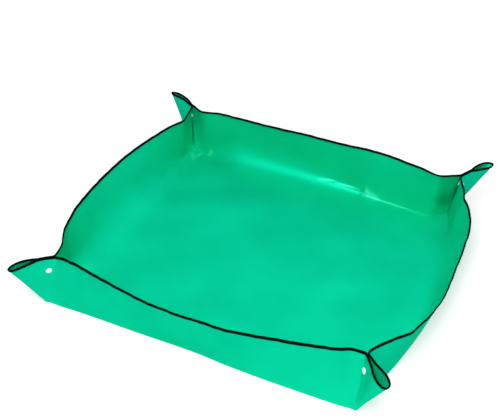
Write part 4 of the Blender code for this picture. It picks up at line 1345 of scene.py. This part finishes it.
tape_finish, thread_finish, plastic_finish = tape_material(), thread_material(), plastic_material()
all_tapes = list(tape_parts.values()) + list(flap_tapes.values())
for piece in all_tapes:
    piece.data.materials.append(tape_finish)
all_stitches = stitches + [row for rows in flap_stitches.values() for row in rows]
for piece in all_stitches:
    piece.data.materials.append(thread_finish)
for made in snaps.values():
    for piece in made.values():
        piece.data.materials.append(plastic_finish)
print("finished", len(all_tapes), "tapes and", len(all_stitches), "rows of stitches")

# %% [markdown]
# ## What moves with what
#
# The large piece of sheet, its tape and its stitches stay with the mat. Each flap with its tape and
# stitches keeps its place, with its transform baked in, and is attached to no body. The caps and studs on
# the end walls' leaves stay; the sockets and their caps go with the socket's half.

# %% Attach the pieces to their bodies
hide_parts("tarp_sheet")
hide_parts("edge_binding")
for piece in [main_sheet] + list(tape_parts.values()) + stitches:
    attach(piece, "mat")
for name in CORNERS:
    socket_half = name + "_socket_half"
    start, end, _ = bend_line(name)
    for piece in [flaps[name], flap_tapes[name]] + flap_stitches[name]:
        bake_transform(piece)
    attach(snaps[name]["stud_cap"], "mat")
    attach(snaps[name]["stud"], "mat")
    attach(snaps[name]["socket_cap"], socket_half)
    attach(snaps[name]["socket"], socket_half)
print("attached")

# %% [markdown]
# ## The table and the light
#
# The mat stands on a plain white table. The key light hangs in front of the mat and above it, a large and
# weaker fill stands farther off at the front right, and a small one hangs low over the floor of the mat.
# Dim white surroundings fill the shadows. The table has a little light of its own, less near the mat than
# far from it, so that it is pure white where nothing shades it.

# %% Set the stage
TABLE_SIZE = 12.0
TABLE_WHITE = (0.80, 0.74, 0.77, 1.0)
TABLE_GLOW_UNSEEN = (0.19, 0.19, 0.19, 1.0)
TABLE_GLOW_NEAR = (0.52, 0.52, 0.52, 1.0)
TABLE_GLOW_FAR = (1.0, 1.0, 1.0, 1.0)
TABLE_GLOW_REACH = 0.45
WORLD_STRENGTH = 0.16


def seen_directly(tree):
    """1 for rays from the camera, from mirrors and through clear things, and 0 for other light."""
    labels = ("Is Camera Ray", "Is Glossy Ray", "Is Transmission Ray")
    camera, mirror, clear = (make_node(tree, "ShaderNodeLightPath", None, label) for label in labels)
    return (camera + mirror + clear).clamped()


def add_table():
    """A large plane under the mat."""
    half = TABLE_SIZE / 2
    corners = np.array([[-half, -half, 0.0], [half, -half, 0.0], [half, half, 0.0], [-half, half, 0.0]])
    table = make_object("table", corners, [[0, 1, 2, 3]])
    material, tree, shader = new_material("table_white", 0.9, 0.0)
    shader.inputs["Base Color"].default_value = TABLE_WHITE
    place = make_node(tree, "ShaderNodeTexCoord", None, 3)
    far = (place.length() / TABLE_GLOW_REACH - 1.0).clamped()
    glow = seen_directly(tree).mixed(TABLE_GLOW_UNSEEN, far.mixed(TABLE_GLOW_NEAR, TABLE_GLOW_FAR))
    tree.links.new(glow.socket, shader.inputs["Emission Color"])
    shader.inputs["Emission Strength"].default_value = 1.0
    table.data.materials.append(material)
    return table


def add_softbox(name, place, aim, size, watts):
    """A square area light at a place, turned to face a place."""
    lamp = bpy.data.lights.new(name, "AREA")
    lamp.size = size
    lamp.energy = watts
    light = bpy.data.objects.new(name, lamp)
    bpy.context.collection.objects.link(light)
    light.location = place
    towards = np.array(aim) - np.array(place)
    flat_length = math.hypot(towards[0], towards[1])
    light.rotation_euler = (math.atan2(flat_length, -towards[2]), 0.0, math.atan2(-towards[0], towards[1]))
    return light


def set_world():
    """Even white surroundings, pure white to the camera, to mirrors and through clear things."""
    world = bpy.data.worlds.new("surroundings")
    world.use_nodes = True
    bpy.context.scene.world = world
    tree = world.node_tree
    background = tree.nodes["Background"]
    strength = WORLD_STRENGTH + seen_directly(tree) * (1.0 - WORLD_STRENGTH)
    tree.links.new(strength.socket, background.inputs["Strength"])
    background.inputs["Color"].default_value = (1.0, 1.0, 1.0, 1.0)


table = add_table()
key = add_softbox("key", (0.3, -1.0, 1.4), (0.1, 0.0, 0.0), 0.9, 18.0)
fill = add_softbox("fill", (0.9, -1.9, 1.2), (0.0, 0.0, 0.0), 1.3, 4.5)
top = add_softbox("top", (0.08, -0.2, 0.85), (0.08, -0.12, 0.0), 0.7, 3.2)
set_world()
bpy.context.scene.view_settings.view_transform = "Standard"

# %% [markdown]
# ## The soft pieces
#
# The flaps, the tapes and the stitches are gathered in one list.

# %% Gather the soft pieces
soft_parts = list(flaps.values()) + all_tapes + all_stitches
